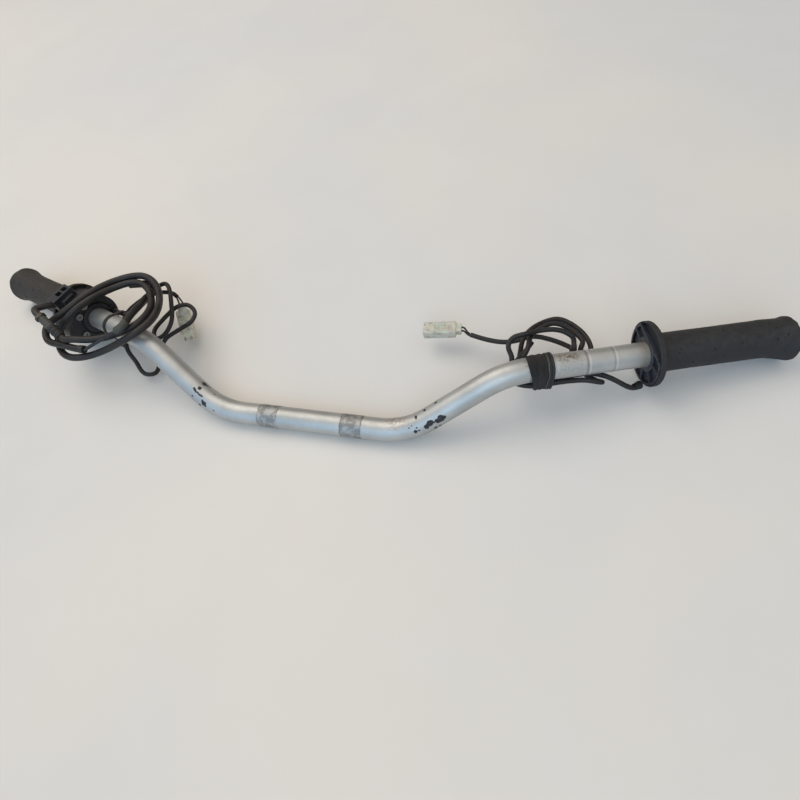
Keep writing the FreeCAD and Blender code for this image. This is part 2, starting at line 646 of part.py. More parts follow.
def heater_cable(run):
    return swept(smooth_path(run), HEATER_CABLE_RADIUS)


def left_cable_grommet():
    """Rubber boot where the left cable leaves the flange ring."""
    point = left(121.5, 14.3, -25.9)
    heading = left(113, 17.5, -24) - left(121, 14.5, -25.8)
    heading.normalize()
    boot = Part.makeCone(3.9, 3.1, 7.0, point, heading)
    return boot.cut(heater_cable(LEFT_HEATER_RUN)).cut(straight_rod(2.4, point, point + heading * 9))


def right_cable_grommet():
    """Grommet in the housing's inboard face."""
    front, up = HEATER_EXIT
    lip = rod(4.8, HOUSING_INBOARD - 2.5, HOUSING_INBOARD, front, up)
    neck = rod(3.5, HOUSING_INBOARD - 2.5, HOUSING_INBOARD + 3, front, up)
    hole = rod(HEATER_CABLE_RADIUS + 0.35, HOUSING_INBOARD - 5, HOUSING_INBOARD + 5, front, up)
    return lip.fuse(neck).cut(hole)


def connector_frame(rear, axis):
    """Placement with local X from the neck to the mouth and local Z as near up as it can be."""
    forward = FreeCAD.Vector(axis).normalize()
    side = Z_AXIS.cross(forward).normalize()
    over = forward.cross(side)
    return FreeCAD.Placement(
        FreeCAD.Matrix(
            forward.x, side.x, over.x, rear.x,
            forward.y, side.y, over.y, rear.y,
            forward.z, side.z, over.z, rear.z,
            0, 0, 0, 1,
        )
    )


def centred_box(start, end, half_width, bottom, top, side=0.0):
    corner = FreeCAD.Vector(start, side - half_width, bottom)
    return Part.makeBox(end - start, 2 * half_width, top - bottom, corner)


def connector_housing():
    """Two-pin nylon shell with a hood, a latch window, ribs and a slot for the retainer."""
    half_height = CONNECTOR_HEIGHT / 2
    neck = centred_box(0, NECK_LENGTH, NECK_WIDTH / 2, -NECK_HEIGHT / 2, NECK_HEIGHT / 2)
    body = centred_box(NECK_LENGTH - 0.5, CONNECTOR_LENGTH, CONNECTOR_WIDTH / 2, -half_height, half_height)
    long_edges = [edge for edge in body.Edges if abs(edge.tangentAt(edge.FirstParameter).x) > 0.9]
    body = body.makeFillet(1.3, long_edges)
    shell = body.fuse(neck)
    for side in (-1, 1):
        shell = shell.fuse(centred_box(9, 35.5, 0.6, half_height - 0.5, half_height + 0.6, side * 5.2))
    hood_top = half_height - 1.2
    hood = centred_box(23, CONNECTOR_LENGTH + 1, CONNECTOR_WIDTH / 2 - 1.2, -hood_top, hood_top)
    shell = shell.cut(hood)
    for side in (-1, 1):
        shell = shell.cut(centred_box(-1, 24, 1.7, -1.8, 1.8, side * PIN_OFFSET))
    shell = shell.cut(centred_box(15, 26, 2.6, half_height - 1.0, half_height + 2))
    shell = shell.fuse(latch_ramp(half_height))
    shell = shell.cut(centred_box(9, 12.2, 5.6, -half_height - 1, -2.1))
    for side in (-1, 1):
        shell = shell.cut(centred_box(CONNECTOR_LENGTH - 2.4, CONNECTOR_LENGTH + 1, 1.1, -8, 8, side * 3.4))
    return shell.removeSplitter()


def latch_ramp(half_height):
    """Wedge that the mating shell's latch snaps over."""
    low = half_height - 1.2
    profile = (
        FreeCAD.Vector(21, -1.7, low), FreeCAD.Vector(24.5, -1.7, low),
        FreeCAD.Vector(24.5, -1.7, low + 1.5), FreeCAD.Vector(21, -1.7, low),
    )
    return Part.Face(Part.makePolygon(profile)).extrude(FreeCAD.Vector(0, 3.4, 0))


def connector_retainer():
    """Plate pushed in from below that locks the terminals."""
    half_height = CONNECTOR_HEIGHT / 2
    return centred_box(9.1, 12.1, 5.45, -half_height, -2.2)


def connector_terminals():
    """Two brass pins, each a crimped barrel and a flat blade."""
    pins = []
    for side in (-1, 1):
        barrel = Part.makeCylinder(1.3, 7.5, FreeCAD.Vector(1.6, side * PIN_OFFSET, 0), X_AXIS)
        blade = centred_box(8.5, 33, 1.15, -0.4, 0.4, side * PIN_OFFSET)
        pins.append(barrel.fuse(blade).removeSplitter())
    return Part.makeCompound(pins)


def heater_wires(run, frame):
    """Two insulated wires from the cable's end into the connector's neck."""
    end, heading = path_end(run)
    side = frame.Rotation.multVec(FreeCAD.Vector(0, 1, 0))
    wires = []
    for sign in (-1, 1):
        offset = side * (sign * WIRE_OFFSET)
        mouth = frame.multVec(FreeCAD.Vector(1.2, sign * PIN_OFFSET, 0))
        before_mouth = frame.multVec(FreeCAD.Vector(-1.5, sign * PIN_OFFSET, 0))
        start = end + offset
        path = smooth_path((start + heading * 0.8, start + heading * 2.0, before_mouth, mouth))
        wires.append(swept(path, HEATER_WIRE_RADIUS))
    return Part.makeCompound(wires)


# ---------------------------------------------------------------- tape, strap and tie

def belt(circles, start, end, gap, thickness):
    outer = hull_prism([(front, up, radius + gap + thickness) for front, up, radius in circles], start, end)
    inner = hull_prism([(front, up, radius + gap) for front, up, radius in circles], start - 1, end + 1)
    return outer.cut(inner)


def taped_circles():
    circles = [(0, 0, TUBE_RADIUS)]
    for front, up in UNDER_ARM:
        circles.append((front, up, HEATER_CABLE_RADIUS + 0.5))
    return circles


def cloth_tape():
    return belt(outer_circles(taped_circles()), TAPE_START, TAPE_END, FIT_GAP, TAPE_THICKNESS)


def cable_strap():
    return belt(outer_circles(taped_circles()), TAPE_END + 0.3, STRAP_END, FIT_GAP, STRAP_THICKNESS)


def outer_circles(circles):
    """Circles that a tight belt touches: the bar and the outermost cables."""
    bar, middle, front_cable, rear_cable = circles
    return (bar, front_cable, middle, rear_cable)


def cable_tie():
    """Plastic tie around the bar and the two heater cable strands, with its locking head."""
    strand = HEATER_CABLE_RADIUS + 0.35
    circles = ((0, 0, TUBE_RADIUS), TIE_REAR + (strand,), TIE_BOTTOM + (strand,))
    end = TIE_STATION + TIE_WIDTH
    strap = belt(circles, TIE_STATION, end, FIT_GAP, TIE_THICKNESS)
    head = block((5.6, 11.0), (-22.4, -16.6), (TIE_STATION - 0.9, end + 0.9))
    inside = [(front, up, radius + FIT_GAP) for front, up, radius in circles]
    head = head.cut(hull_prism(inside, TIE_STATION - 2, end + 2))
    tail = block((7.6, 9.2), (-29.0, -22.0), (TIE_STATION, end))
    return strap.fuse(head).fuse(tail).removeSplitter()


# ---------------------------------------------------------------- write every node

def main():
    os.makedirs("parts", exist_ok=True)
    left_frame = connector_frame(LEFT_CONNECTOR_REAR, LEFT_CONNECTOR_AXIS)
    right_frame = connector_frame(RIGHT_CONNECTOR_REAR, RIGHT_CONNECTOR_AXIS)
    nodes = {
        "handlebar_tube": handlebar_tube(),
        "left_grip_core": on_left_arm(grip_core(TUBE_RADIUS + GLUE_GAP)),
        "left_heater_element": on_left_arm(heater_element()),
        "left_grip_rubber": on_left_arm(grip_rubber()),
        "left_cable_grommet": left_cable_grommet(),
        "left_heater_cable": heater_cable(LEFT_HEATER_RUN),
        "left_heater_wires": heater_wires(LEFT_HEATER_RUN, left_frame),
        "cloth_tape": on_left_arm(cloth_tape()),
        "cable_strap": on_left_arm(cable_strap()),
        "throttle_tube": on_throttle_arm(throttle_tube()),
        "throttle_heater_element": on_throttle_arm(heater_element()),
        "throttle_grip_rubber": on_throttle_arm(grip_rubber()),
        "drum_nipple": on_throttle_arm(drum_nipple()),
        "drum_wire": on_throttle_arm(drum_wire()),
        "throttle_housing_cover": on_throttle_arm(throttle_housing_cover()),
        "throttle_housing_body": on_throttle_arm(throttle_housing_body()),
        "housing_screws": on_throttle_arm(housing_screws()),
        "cable_elbow": cable_elbow(),
        "adjuster_nut": adjuster_nut(),
        "adjuster_sleeve": adjuster_sleeve(),
        "adjuster_boot": adjuster_boot(),
        "throttle_cable_jacket": throttle_cable_jacket(),
        "cable_ferrule": cable_ferrule(),
        "cable_liner": cable_liner(),
        "cable_tail_jacket": cable_tail_jacket(),
        "shrink_sleeve": shrink_sleeve(),
        "tail_ferrule": tail_ferrule(),
        "pull_wire": pull_wire(),
        "right_cable_grommet": on_throttle_arm(right_cable_grommet()),
        "right_heater_cable": heater_cable(RIGHT_HEATER_RUN),
        "right_heater_wires": heater_wires(RIGHT_HEATER_RUN, right_frame),
        "cable_tie": on_throttle_arm(cable_tie()),
    }
    for prefix, frame in (("left", left_frame), ("right", right_frame)):
        pieces = {
            "connector_housing": connector_housing(),
            "connector_retainer": connector_retainer(),
            "connector_terminals": connector_terminals(),
        }
        for name, shape in pieces.items():
            shape.Placement = frame
            nodes[prefix + "_" + name] = shape
    for name, shape in nodes.items():
        shape.exportStep("parts/" + name + ".step")


main()
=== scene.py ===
"""Looks for the motorcycle handlebar: materials, soft and worn pieces, floor, light and camera.

Places are in metres, in the CAD model's own frame: +X to the rider's left hand, +Y back towards the
rider, +Z up, with the origin on the tube's axis at the middle of the clamp section. Outlines and other
small sizes are in mm and are multiplied by MM where they are used.
"""

import json
import math
import random

import bmesh
import bpy
from mathutils import Matrix, Vector, noise


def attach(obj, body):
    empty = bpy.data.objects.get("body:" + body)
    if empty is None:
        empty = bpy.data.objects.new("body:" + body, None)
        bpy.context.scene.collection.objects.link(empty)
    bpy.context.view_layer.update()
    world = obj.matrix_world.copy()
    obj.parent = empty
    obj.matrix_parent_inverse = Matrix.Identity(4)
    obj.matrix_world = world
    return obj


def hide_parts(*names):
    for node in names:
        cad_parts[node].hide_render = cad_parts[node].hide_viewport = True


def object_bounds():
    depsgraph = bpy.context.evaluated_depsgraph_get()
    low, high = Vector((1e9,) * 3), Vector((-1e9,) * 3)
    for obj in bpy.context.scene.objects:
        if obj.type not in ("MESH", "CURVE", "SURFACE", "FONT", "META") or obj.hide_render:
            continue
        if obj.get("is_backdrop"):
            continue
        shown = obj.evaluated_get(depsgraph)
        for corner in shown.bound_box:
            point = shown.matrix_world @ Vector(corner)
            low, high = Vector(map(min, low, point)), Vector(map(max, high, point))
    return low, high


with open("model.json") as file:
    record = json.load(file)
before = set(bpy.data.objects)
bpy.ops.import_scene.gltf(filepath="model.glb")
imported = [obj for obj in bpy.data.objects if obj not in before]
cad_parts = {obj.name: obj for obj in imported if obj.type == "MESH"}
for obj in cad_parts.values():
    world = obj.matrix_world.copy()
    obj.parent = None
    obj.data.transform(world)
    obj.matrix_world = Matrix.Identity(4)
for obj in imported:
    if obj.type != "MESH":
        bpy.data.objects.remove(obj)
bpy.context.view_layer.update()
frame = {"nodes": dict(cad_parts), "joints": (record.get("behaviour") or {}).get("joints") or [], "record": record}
NODES = frame["nodes"]
ROOT = "bar_assembly"
GRIP_BODY = "throttle_grip"
MM = 0.001

# Stations along an arm, measured outboard from the tube's outer bend.
TWIST_STATION = 180 * MM
GRIP_START = 123.2 * MM

# Knurled bands that carry the handlebar's clamps. Each runs from start to end, measured from the shift
# on either side of it. The wave is in radians per mm along, the turns are waves around, and the tube's
# radius and the knurl's height are in mm.
TUBE_RADIUS = 11.0
KNURL_START = 32.4 * MM
KNURL_END = 52.9 * MM
KNURL_SHIFT = 2.6 * MM
KNURL_WAVE = 4.2
KNURL_TURNS = 44
KNURL_HEIGHT = 0.16
KNURL_COLUMNS = 528
KNURL_ROWS = 94

# Chipped paint: x, y and z of a place on the tube, and a radius, all in mm.
LEFT_CHIPS = (
    (130, 8, 20, 3.4), (127.5, 6, 18.5, 2.9), (124, 5, 17, 1.4), (120.5, 3, 17, 3.1), (118, 1, 14, 2.4),
    (122, 4, 18, 2.0), (108, -3, 10.5, 1.9), (111, -2, 12, 1.2), (109, -1, 14, 0.9), (125, 4, 10, 1.9),
    (129, 6, 11, 1.5), (102, -2, 13, 0.9), (106.5, 8.4, 17.4, 1.6), (107.5, 6.5, 17.5, 1.0),
    (114, 14.5, 20, 1.6), (123, 21, 24.5, 1.5), (104, 0, 14, 0.5), (133, 9, 21, 1.8), (114, 0, 11, 0.8),
)
THROTTLE_CHIPS = (
    (-113, 18, 18, 2.4), (-111.5, 17, 18.5, 2.1), (-109.5, 17, 17, 1.5), (-107.5, 17, 15, 1.1),
    (-115, 18.5, 19, 1.2), (-114, 11, 20.5, 1.8), (-119, 9, 22, 1.3), (-118, 8, 21, 1.2),
    (-117, 7.2, 20, 1.2), (-115.5, 6.4, 19.2, 1.2), (-114, 5.6, 18.6, 1.2), (-112.5, 4.8, 18.2, 1.2),
    (-111, 4, 18, 1.4), (-109.5, 3.4, 17.4, 1.0), (-121, 3, 17, 1.4), (-108, -2, 13, 2.6),
    (-109.5, 0, 15, 1.6), (-106.5, -3, 11, 1.3), (-114, -2, 10, 1.4), (-97, -6, 9, 0.9),
    (-99.5, 9, 14.5, 0.8),
)


# ---------------------------------------------------------------- places on the two arms

class Arm:
    """One of the two outer arms of the bar, with its own directions."""

    def __init__(self, place, out):
        self.out = Vector(out).normalized()
        self.corner = Vector(place) - self.out * TWIST_STATION
        side = self.out.cross(Vector((0, 0, 1))).normalized()
        self.front = side if side.y < 0 else -side
        self.up = self.front.cross(self.out)
        if self.up.z < 0:
            self.up = -self.up

    def point(self, station, front, up):
        return self.corner + self.out * station + self.front * front + self.up * up


def flipped(vector):
    return Vector((-vector[0], vector[1], vector[2]))


TWIST = next(joint for joint in frame["joints"] if joint["name"] == "throttle_twist")
THROTTLE_ARM = Arm(TWIST["pos_m"], TWIST["axis"])
LEFT_ARM = Arm(flipped(TWIST["pos_m"]), flipped(TWIST["axis"]))


# ---------------------------------------------------------------- material node trees

class Shader:
    """A material's node tree, with short calls for the nodes used here."""

    def __init__(self, name):
        self.material = bpy.data.materials.new(name)
        self.material.use_nodes = True
        self.tree = self.material.node_tree
        self.tree.nodes.clear()
        self.surface = self.tree.nodes.new("ShaderNodeBsdfPrincipled")
        output = self.tree.nodes.new("ShaderNodeOutputMaterial")
        self.tree.links.new(self.surface.outputs[0], output.inputs[0])
        self.place = self.tree.nodes.new("ShaderNodeTexCoord").outputs["Object"]
        self.normal = self.tree.nodes.new("ShaderNodeNewGeometry").outputs["Normal"]

    def plug(self, socket, value):
        if isinstance(value, bpy.types.NodeSocket):
            self.tree.links.new(value, socket)
        else:
            socket.default_value = value

    def math(self, operation, first, second=0.0, third=0.0):
        node = self.tree.nodes.new("ShaderNodeMath")
        node.operation = operation
        for socket, value in zip(node.inputs, (first, second, third)):
            self.plug(socket, value)
        return node.outputs[0]

    def vector(self, operation, first, second=(0, 0, 0)):
        node = self.tree.nodes.new("ShaderNodeVectorMath")
        node.operation = operation
        self.plug(node.inputs[0], first)
        self.plug(node.inputs[1], second)
        return node.outputs["Value" if operation in ("DOT_PRODUCT", "LENGTH", "DISTANCE") else "Vector"]

    def noise(self, scale, detail=3.0, roughness=0.55, place=None):
        node = self.tree.nodes.new("ShaderNodeTexNoise")
        self.plug(node.inputs["Vector"], place or self.place)
        node.inputs["Scale"].default_value = scale
        node.inputs["Detail"].default_value = detail
        node.inputs["Roughness"].default_value = roughness
        return node.outputs[0]

    def cells(self, scale):
        """Distance to the nearest of many scattered points."""
        node = self.tree.nodes.new("ShaderNodeTexVoronoi")
        self.plug(node.inputs["Vector"], self.place)
        node.inputs["Scale"].default_value = scale
        return node.outputs["Distance"]

    def ramp(self, value, low, high, start=0.0, end=1.0):
        """Smooth step from start to end as value goes from low to high."""
        node = self.tree.nodes.new("ShaderNodeMapRange")
        node.interpolation_type = "SMOOTHSTEP"
        names = ("Value", "From Min", "From Max", "To Min", "To Max")
        for name, number in zip(names, (value, low, high, start, end)):
            self.plug(node.inputs[name], number)
        return node.outputs[0]

    def mix(self, amount, first, second):
        """Mix of two colours."""
        node = self.tree.nodes.new("ShaderNodeMix")
        node.data_type = "RGBA"
        self.plug(node.inputs[0], amount)
        self.plug(node.inputs[6], rgba(first))
        self.plug(node.inputs[7], rgba(second))
        return node.outputs[2]

    def lerp(self, amount, first, second):
        """Mix of two numbers."""
        span = self.math("SUBTRACT", second, first)
        return self.math("MULTIPLY_ADD", amount, span, first)

    def stretched(self, scale_x, scale_y, scale_z):
        return self.vector("MULTIPLY", self.place, (scale_x, scale_y, scale_z))

    def split(self, vector):
        node = self.tree.nodes.new("ShaderNodeSeparateXYZ")
        self.plug(node.inputs[0], vector)
        return node.outputs

    def station(self, arm):
        """Distance outboard along an arm."""
        along = self.vector("DOT_PRODUCT", self.place, tuple(arm.out))
        return self.math("SUBTRACT", along, arm.corner.dot(arm.out))

    def around(self, arm):
        """Angle around an arm's axis, zero at the top."""
        up = self.vector("DOT_PRODUCT", self.place, tuple(arm.up))
        front = self.vector("DOT_PRODUCT", self.place, tuple(arm.front))
        up = self.math("SUBTRACT", up, arm.corner.dot(arm.up))
        front = self.math("SUBTRACT", front, arm.corner.dot(arm.front))
        return self.math("ARCTAN2", front, up)

    def facing_up(self):
        return self.vector("DOT_PRODUCT", self.normal, (0, 0, 1))

    def pointiness(self):
        return self.tree.nodes.new("ShaderNodeNewGeometry").outputs["Pointiness"]

    def product(self, first, *others):
        """Product of two or more numbers."""
        for other in others:
            first = self.math("MULTIPLY", first, other)
        return first

    def bump(self, height, distance):
        """Add a height map, scaled by a distance in metres, on top of those already there."""
        node = self.tree.nodes.new("ShaderNodeBump")
        node.inputs["Strength"].default_value = 1.0
        node.inputs["Distance"].default_value = distance
        self.plug(node.inputs["Height"], height)
        socket = self.surface.inputs["Normal"]
        if socket.is_linked:
            self.plug(node.inputs["Normal"], socket.links[0].from_socket)
        self.tree.links.new(node.outputs[0], socket)

    def finish(self, colour, roughness, metallic=0.0, **extra):
        self.plug(self.surface.inputs["Base Color"], rgba(colour))
        self.plug(self.surface.inputs["Roughness"], roughness)
        self.plug(self.surface.inputs["Metallic"], metallic)
        for name, value in extra.items():
            self.plug(self.surface.inputs[name.replace("_", " ")], value)
        return self.material


def rgba(colour):
    if isinstance(colour, (tuple, list)) and len(colour) == 3:
        return (*colour, 1.0)
    return colour


# ---------------------------------------------------------------- materials

def chip_mask(shader, chips, wobble):
    """1 inside the ragged paint chips, 0 outside."""
    mask = 0.0
    for x, y, z, radius in chips:
        away = shader.vector("DISTANCE", wobble, (x * MM, y * MM, z * MM))
        inside = shader.ramp(away, radius * MM * 0.92, radius * MM * 1.04, 1.0, 0.0)
        mask = shader.math("MAXIMUM", mask, inside)
    return mask


def silver_tube():
    """Satin silver paint with knurled bands, paint chips, clamp marks, stains and light scuffs."""
    shader = Shader("silver_tube")
    x, y, z = shader.split(shader.place)
    cloud = shader.noise(38, 4)
    fine = shader.noise(420, 4)
    colour = shader.mix(shader.ramp(cloud, 0.35, 0.7), (0.44, 0.44, 0.43), (0.51, 0.51, 0.495))
    rough = shader.lerp(shader.ramp(fine, 0.3, 0.7), 0.43, 0.52)

    # Ragged wobble of the position, so that the edges of marks aren't round.
    shift = shader.tree.nodes.new("ShaderNodeTexNoise")
    shader.plug(shift.inputs["Vector"], shader.place)
    shift.inputs["Scale"].default_value = 300
    shift.inputs["Detail"].default_value = 4
    spread = shader.vector("SUBTRACT", shift.outputs["Color"], (0.5, 0.5, 0.5))
    drift = shader.vector("MULTIPLY", spread, (3 * MM, 3 * MM, 3 * MM))
    wobble = shader.vector("ADD", shader.place, drift)
    wobbled = shader.math("ABSOLUTE", shader.math("SUBTRACT", shader.split(wobble)[0], KNURL_SHIFT))

    # Knurled clamp bands: crossed ridges, worn to dull metal and darker in the grooves.
    blur = 0.4 * MM
    edge_in = shader.ramp(wobbled, KNURL_START - blur, KNURL_START + blur)
    edge_out = shader.ramp(wobbled, KNURL_END - blur, KNURL_END + blur, 1.0, 0.0)
    band = shader.product(edge_in, edge_out)
    angle = shader.math("ARCTAN2", z, y)
    along = shader.product(x, KNURL_WAVE / MM)
    turn = shader.product(angle, KNURL_TURNS)
    one = shader.math("SINE", shader.math("ADD", along, turn))
    other = shader.math("SINE", shader.math("SUBTRACT", along, turn))
    knurl = shader.product(shader.math("MAXIMUM", one, other), band)
    dirt = shader.ramp(shader.noise(150, 5, 0.7), 0.42, 0.62)
    worn = shader.mix(dirt, (0.27, 0.265, 0.26), (0.47, 0.47, 0.46))
    grooves = shader.math("SUBTRACT", 1.0, shader.ramp(knurl, -0.4, 0.5))
    worn = shader.mix(shader.product(grooves, 0.42), worn, (0.09, 0.085, 0.08))
    colour = shader.mix(band, colour, worn)
    rough = shader.lerp(band, rough, 0.52)
    for edge in (KNURL_START, KNURL_END):
        off = shader.math("ABSOLUTE", shader.math("SUBTRACT", wobbled, edge))
        line = shader.ramp(off, 0.3 * MM, 1.1 * MM, 0.55, 0.0)
        line = shader.product(line, shader.ramp(cloud, 0.42, 0.6))
        colour = shader.mix(line, colour, (0.10, 0.09, 0.08))

    # Old clamp marks and grime on the left arm.
    station = shader.station(LEFT_ARM)
    on_left = shader.math("GREATER_THAN", x, 150 * MM)
    zone_in = shader.ramp(station, 42.5 * MM, 44 * MM)
    zone_out = shader.ramp(station, 69 * MM, 70.5 * MM, 1.0, 0.0)
    zone = shader.product(zone_in, zone_out, on_left)
    speck = shader.ramp(shader.noise(700, 3, 0.7), 0.50, 0.62)
    colour = shader.mix(shader.product(zone, 0.45), colour, (0.50, 0.49, 0.46))
    colour = shader.mix(shader.product(zone, speck, 0.35), colour, (0.20, 0.185, 0.165))
    rough = shader.lerp(shader.product(zone, 0.8), rough, 0.55)
    stain_off = shader.math("ABSOLUTE", shader.math("SUBTRACT", station, 52.5 * MM))
    lengthwise = shader.ramp(stain_off, 4 * MM, 13.5 * MM, 1.0, 0.0)
    turned = shader.math("ABSOLUTE", shader.math("ADD", shader.around(LEFT_ARM), 0.12))
    crosswise = shader.ramp(turned, 0.15, 0.62, 1.0, 0.0)
    patches = shader.ramp(shader.noise(330, 5, 0.75), 0.42, 0.56)
    stain = shader.product(lengthwise, crosswise, on_left, patches)
    colour = shader.mix(shader.product(stain, 0.9), colour, (0.115, 0.085, 0.050))
    for ring_station, darkness in ((68.8, 0.5), (92.6, 0.34), (94.5, -0.3), (71.2, -0.3)):
        off = shader.math("ABSOLUTE", shader.math("SUBTRACT", station, ring_station * MM))
        line = shader.product(shader.ramp(off, 0.2 * MM, 1.4 * MM, abs(darkness), 0.0), on_left)
        colour = shader.mix(line, colour, (0.16, 0.15, 0.14) if darkness > 0 else (0.9, 0.9, 0.89))
    tan = shader.product(shader.ramp(station, 112 * MM, 119 * MM), on_left)
    colour = shader.mix(shader.product(tan, 0.55), colour, (0.42, 0.37, 0.28))
    shader.bump(shader.product(zone, 0.2), 1 * MM)

    # Brown haze on the left inner bend, then dull streaks and dark dots all along the tube.
    haze_off = shader.vector("DISTANCE", wobble, (88 * MM, 6 * MM, 10.5 * MM))
    haze = shader.product(shader.ramp(haze_off, 3 * MM, 14 * MM, 1.0, 0.0), shader.ramp(fine, 0.4, 0.6))
    colour = shader.mix(shader.product(haze, 0.6), colour, (0.24, 0.16, 0.10))
    dull = shader.ramp(shader.noise(90, 6, 0.7, shader.stretched(0.25, 1, 1)), 0.56, 0.75)
    colour = shader.mix(shader.product(dull, 0.22), colour, (0.40, 0.38, 0.34))
    dots = shader.ramp(shader.cells(210), 0.02, 0.06, 1.0, 0.0)
    dots = shader.product(dots, shader.ramp(cloud, 0.52, 0.62))
    colour = shader.mix(shader.product(dots, 0.7), colour, (0.15, 0.13, 0.11))

    # Paint chips down to dark primer.
    chips = chip_mask(shader, LEFT_CHIPS + THROTTLE_CHIPS, wobble)
    primer = shader.mix(shader.ramp(fine, 0.45, 0.7), (0.012, 0.013, 0.016), (0.05, 0.055, 0.06))
    colour = shader.mix(chips, colour, primer)
    rough = shader.lerp(chips, rough, 0.6)
    metal = shader.product(shader.lerp(chips, 0.75, 0.0), shader.lerp(stain, 1.0, 0.2))
    shader.bump(shader.math("SUBTRACT", 1.0, chips), 0.18 * MM)
    shader.bump(shader.noise(1500, 2), 0.035 * MM)
    scratch = shader.ramp(shader.noise(900, 2, 0.5, shader.stretched(0.06, 1, 1)), 0.60, 0.66)
    shader.bump(scratch, 0.02 * MM)
    return shader.finish(colour, rough, metal)


def grip_rubber_look(name, tint):
    """Old matt rubber: charcoal with grain, dust on top, pale specks and dark pock marks."""
    shader = Shader(name)
    cloud = shader.noise(26, 5, 0.6)
    dust = shader.noise(190, 5, 0.65)
    base = shader.mix(shader.ramp(cloud, 0.35, 0.68), tint, tuple(c * 1.3 for c in tint))
    up = shader.ramp(shader.facing_up(), 0.1, 1.0)
    film = shader.product(up, shader.ramp(dust, 0.38, 0.7))
    base = shader.mix(shader.product(film, 0.22), base, (0.075, 0.070, 0.062))
    specks = shader.ramp(shader.cells(900), 0.05, 0.16, 1.0, 0.0)
    specks = shader.product(specks, shader.ramp(dust, 0.5, 0.65))
    base = shader.mix(shader.product(specks, 0.2), base, (0.12, 0.11, 0.095))
    pocks = shader.tree.nodes.new("ShaderNodeAttribute")
    pocks.attribute_name = "pock"
    base = shader.mix(pocks.outputs["Fac"], base, (0.006, 0.006, 0.007))
    rough = shader.lerp(shader.ramp(cloud, 0.4, 0.65), 0.62, 0.80)
    shader.bump(shader.noise(1300, 4, 0.7), 0.12 * MM)
    shader.bump(shader.noise(160, 3), 0.25 * MM)
    return shader.finish(base, rough, Specular_IOR_Level=0.35)


def moulded_plastic(name, tint, rough=0.42):
    """Grained black nylon with paler rubbed edges, painted shade darkening the hollows, and dust on upward faces.
    """
    shader = Shader(name)
    cloud = shader.noise(55, 5, 0.6)
    base = shader.mix(shader.ramp(cloud, 0.35, 0.7), tint, tuple(c * 1.45 + 0.004 for c in tint))
    edge = shader.ramp(shader.pointiness(), 0.515, 0.58)
    edge = shader.product(edge, shader.ramp(shader.noise(320, 4, 0.7), 0.4, 0.62))
    base = shader.mix(shader.product(edge, 0.4), base, (0.12, 0.115, 0.11))
    # Painted shade: hollows, found by low pointiness, are darkened towards black.
    hollow = shader.ramp(shader.pointiness(), 0.40, 0.485, 1.0, 0.0)
    base = shader.mix(shader.product(hollow, 0.3), base, (0.004, 0.004, 0.005))
    up = shader.ramp(shader.facing_up(), 0.3, 1.0)
    dust = shader.product(up, shader.ramp(shader.noise(240, 5, 0.7), 0.42, 0.7))
    base = shader.mix(shader.product(dust, 0.16), base, (0.10, 0.092, 0.080))
    finish = shader.lerp(shader.ramp(cloud, 0.3, 0.7), rough, rough + 0.16)
    shader.bump(shader.noise(1900, 3, 0.6), 0.05 * MM)
    return shader.finish(base, finish)


def cable_plastic(name, tint, rough):
    """Extruded cable jacket: soft sheen, scuffs, and brownish dust with painted top light on the upper side."""
    shader = Shader(name)
    cloud = shader.noise(70, 5, 0.65)
    scuff = shader.ramp(shader.noise(420, 5, 0.75), 0.55, 0.72)
    base = shader.mix(shader.ramp(cloud, 0.35, 0.7), tint, tuple(c * 1.7 for c in tint))
    # Dust and painted top light: upward faces are made paler and browner, as if lit from above.
    up = shader.ramp(shader.facing_up(), 0.2, 1.0)
    dust = shader.product(up, shader.ramp(cloud, 0.32, 0.66))
    base = shader.mix(shader.product(dust, 0.30), base, (0.060, 0.048, 0.040))
    base = shader.mix(shader.product(scuff, 0.18), base, (0.11, 0.10, 0.09))
    finish = shader.lerp(shader.ramp(cloud, 0.35, 0.65), rough, rough + 0.2)
    shader.bump(shader.noise(850, 3), 0.06 * MM)
    shader.bump(scuff, 0.03 * MM)
    return shader.finish(base, finish, Specular_IOR_Level=0.32)


def worn_metal(name, tint, rough, rust=0.0):
    """Plated or coated metal with fine scratches, dull spots and a little rust."""
    shader = Shader(name)
    cloud = shader.noise(160, 5, 0.65)
    scratch = shader.ramp(shader.noise(1500, 3, 0.6, shader.stretched(0.2, 1, 1)), 0.56, 0.66)
    base = shader.mix(shader.ramp(cloud, 0.35, 0.7), tint, tuple(c * 0.72 for c in tint))
    spots = shader.ramp(shader.noise(520, 5, 0.75), 0.56, 0.68)
    base = shader.mix(shader.product(spots, rust), base, (0.16, 0.085, 0.04))
    finish = shader.lerp(shader.math("MAXIMUM", scratch, spots), rough, rough + 0.22)
    shader.bump(scratch, 0.03 * MM)
    shader.bump(cloud, 0.06 * MM)
    return shader.finish(base, finish, shader.lerp(shader.product(spots, rust), 0.95, 0.3))


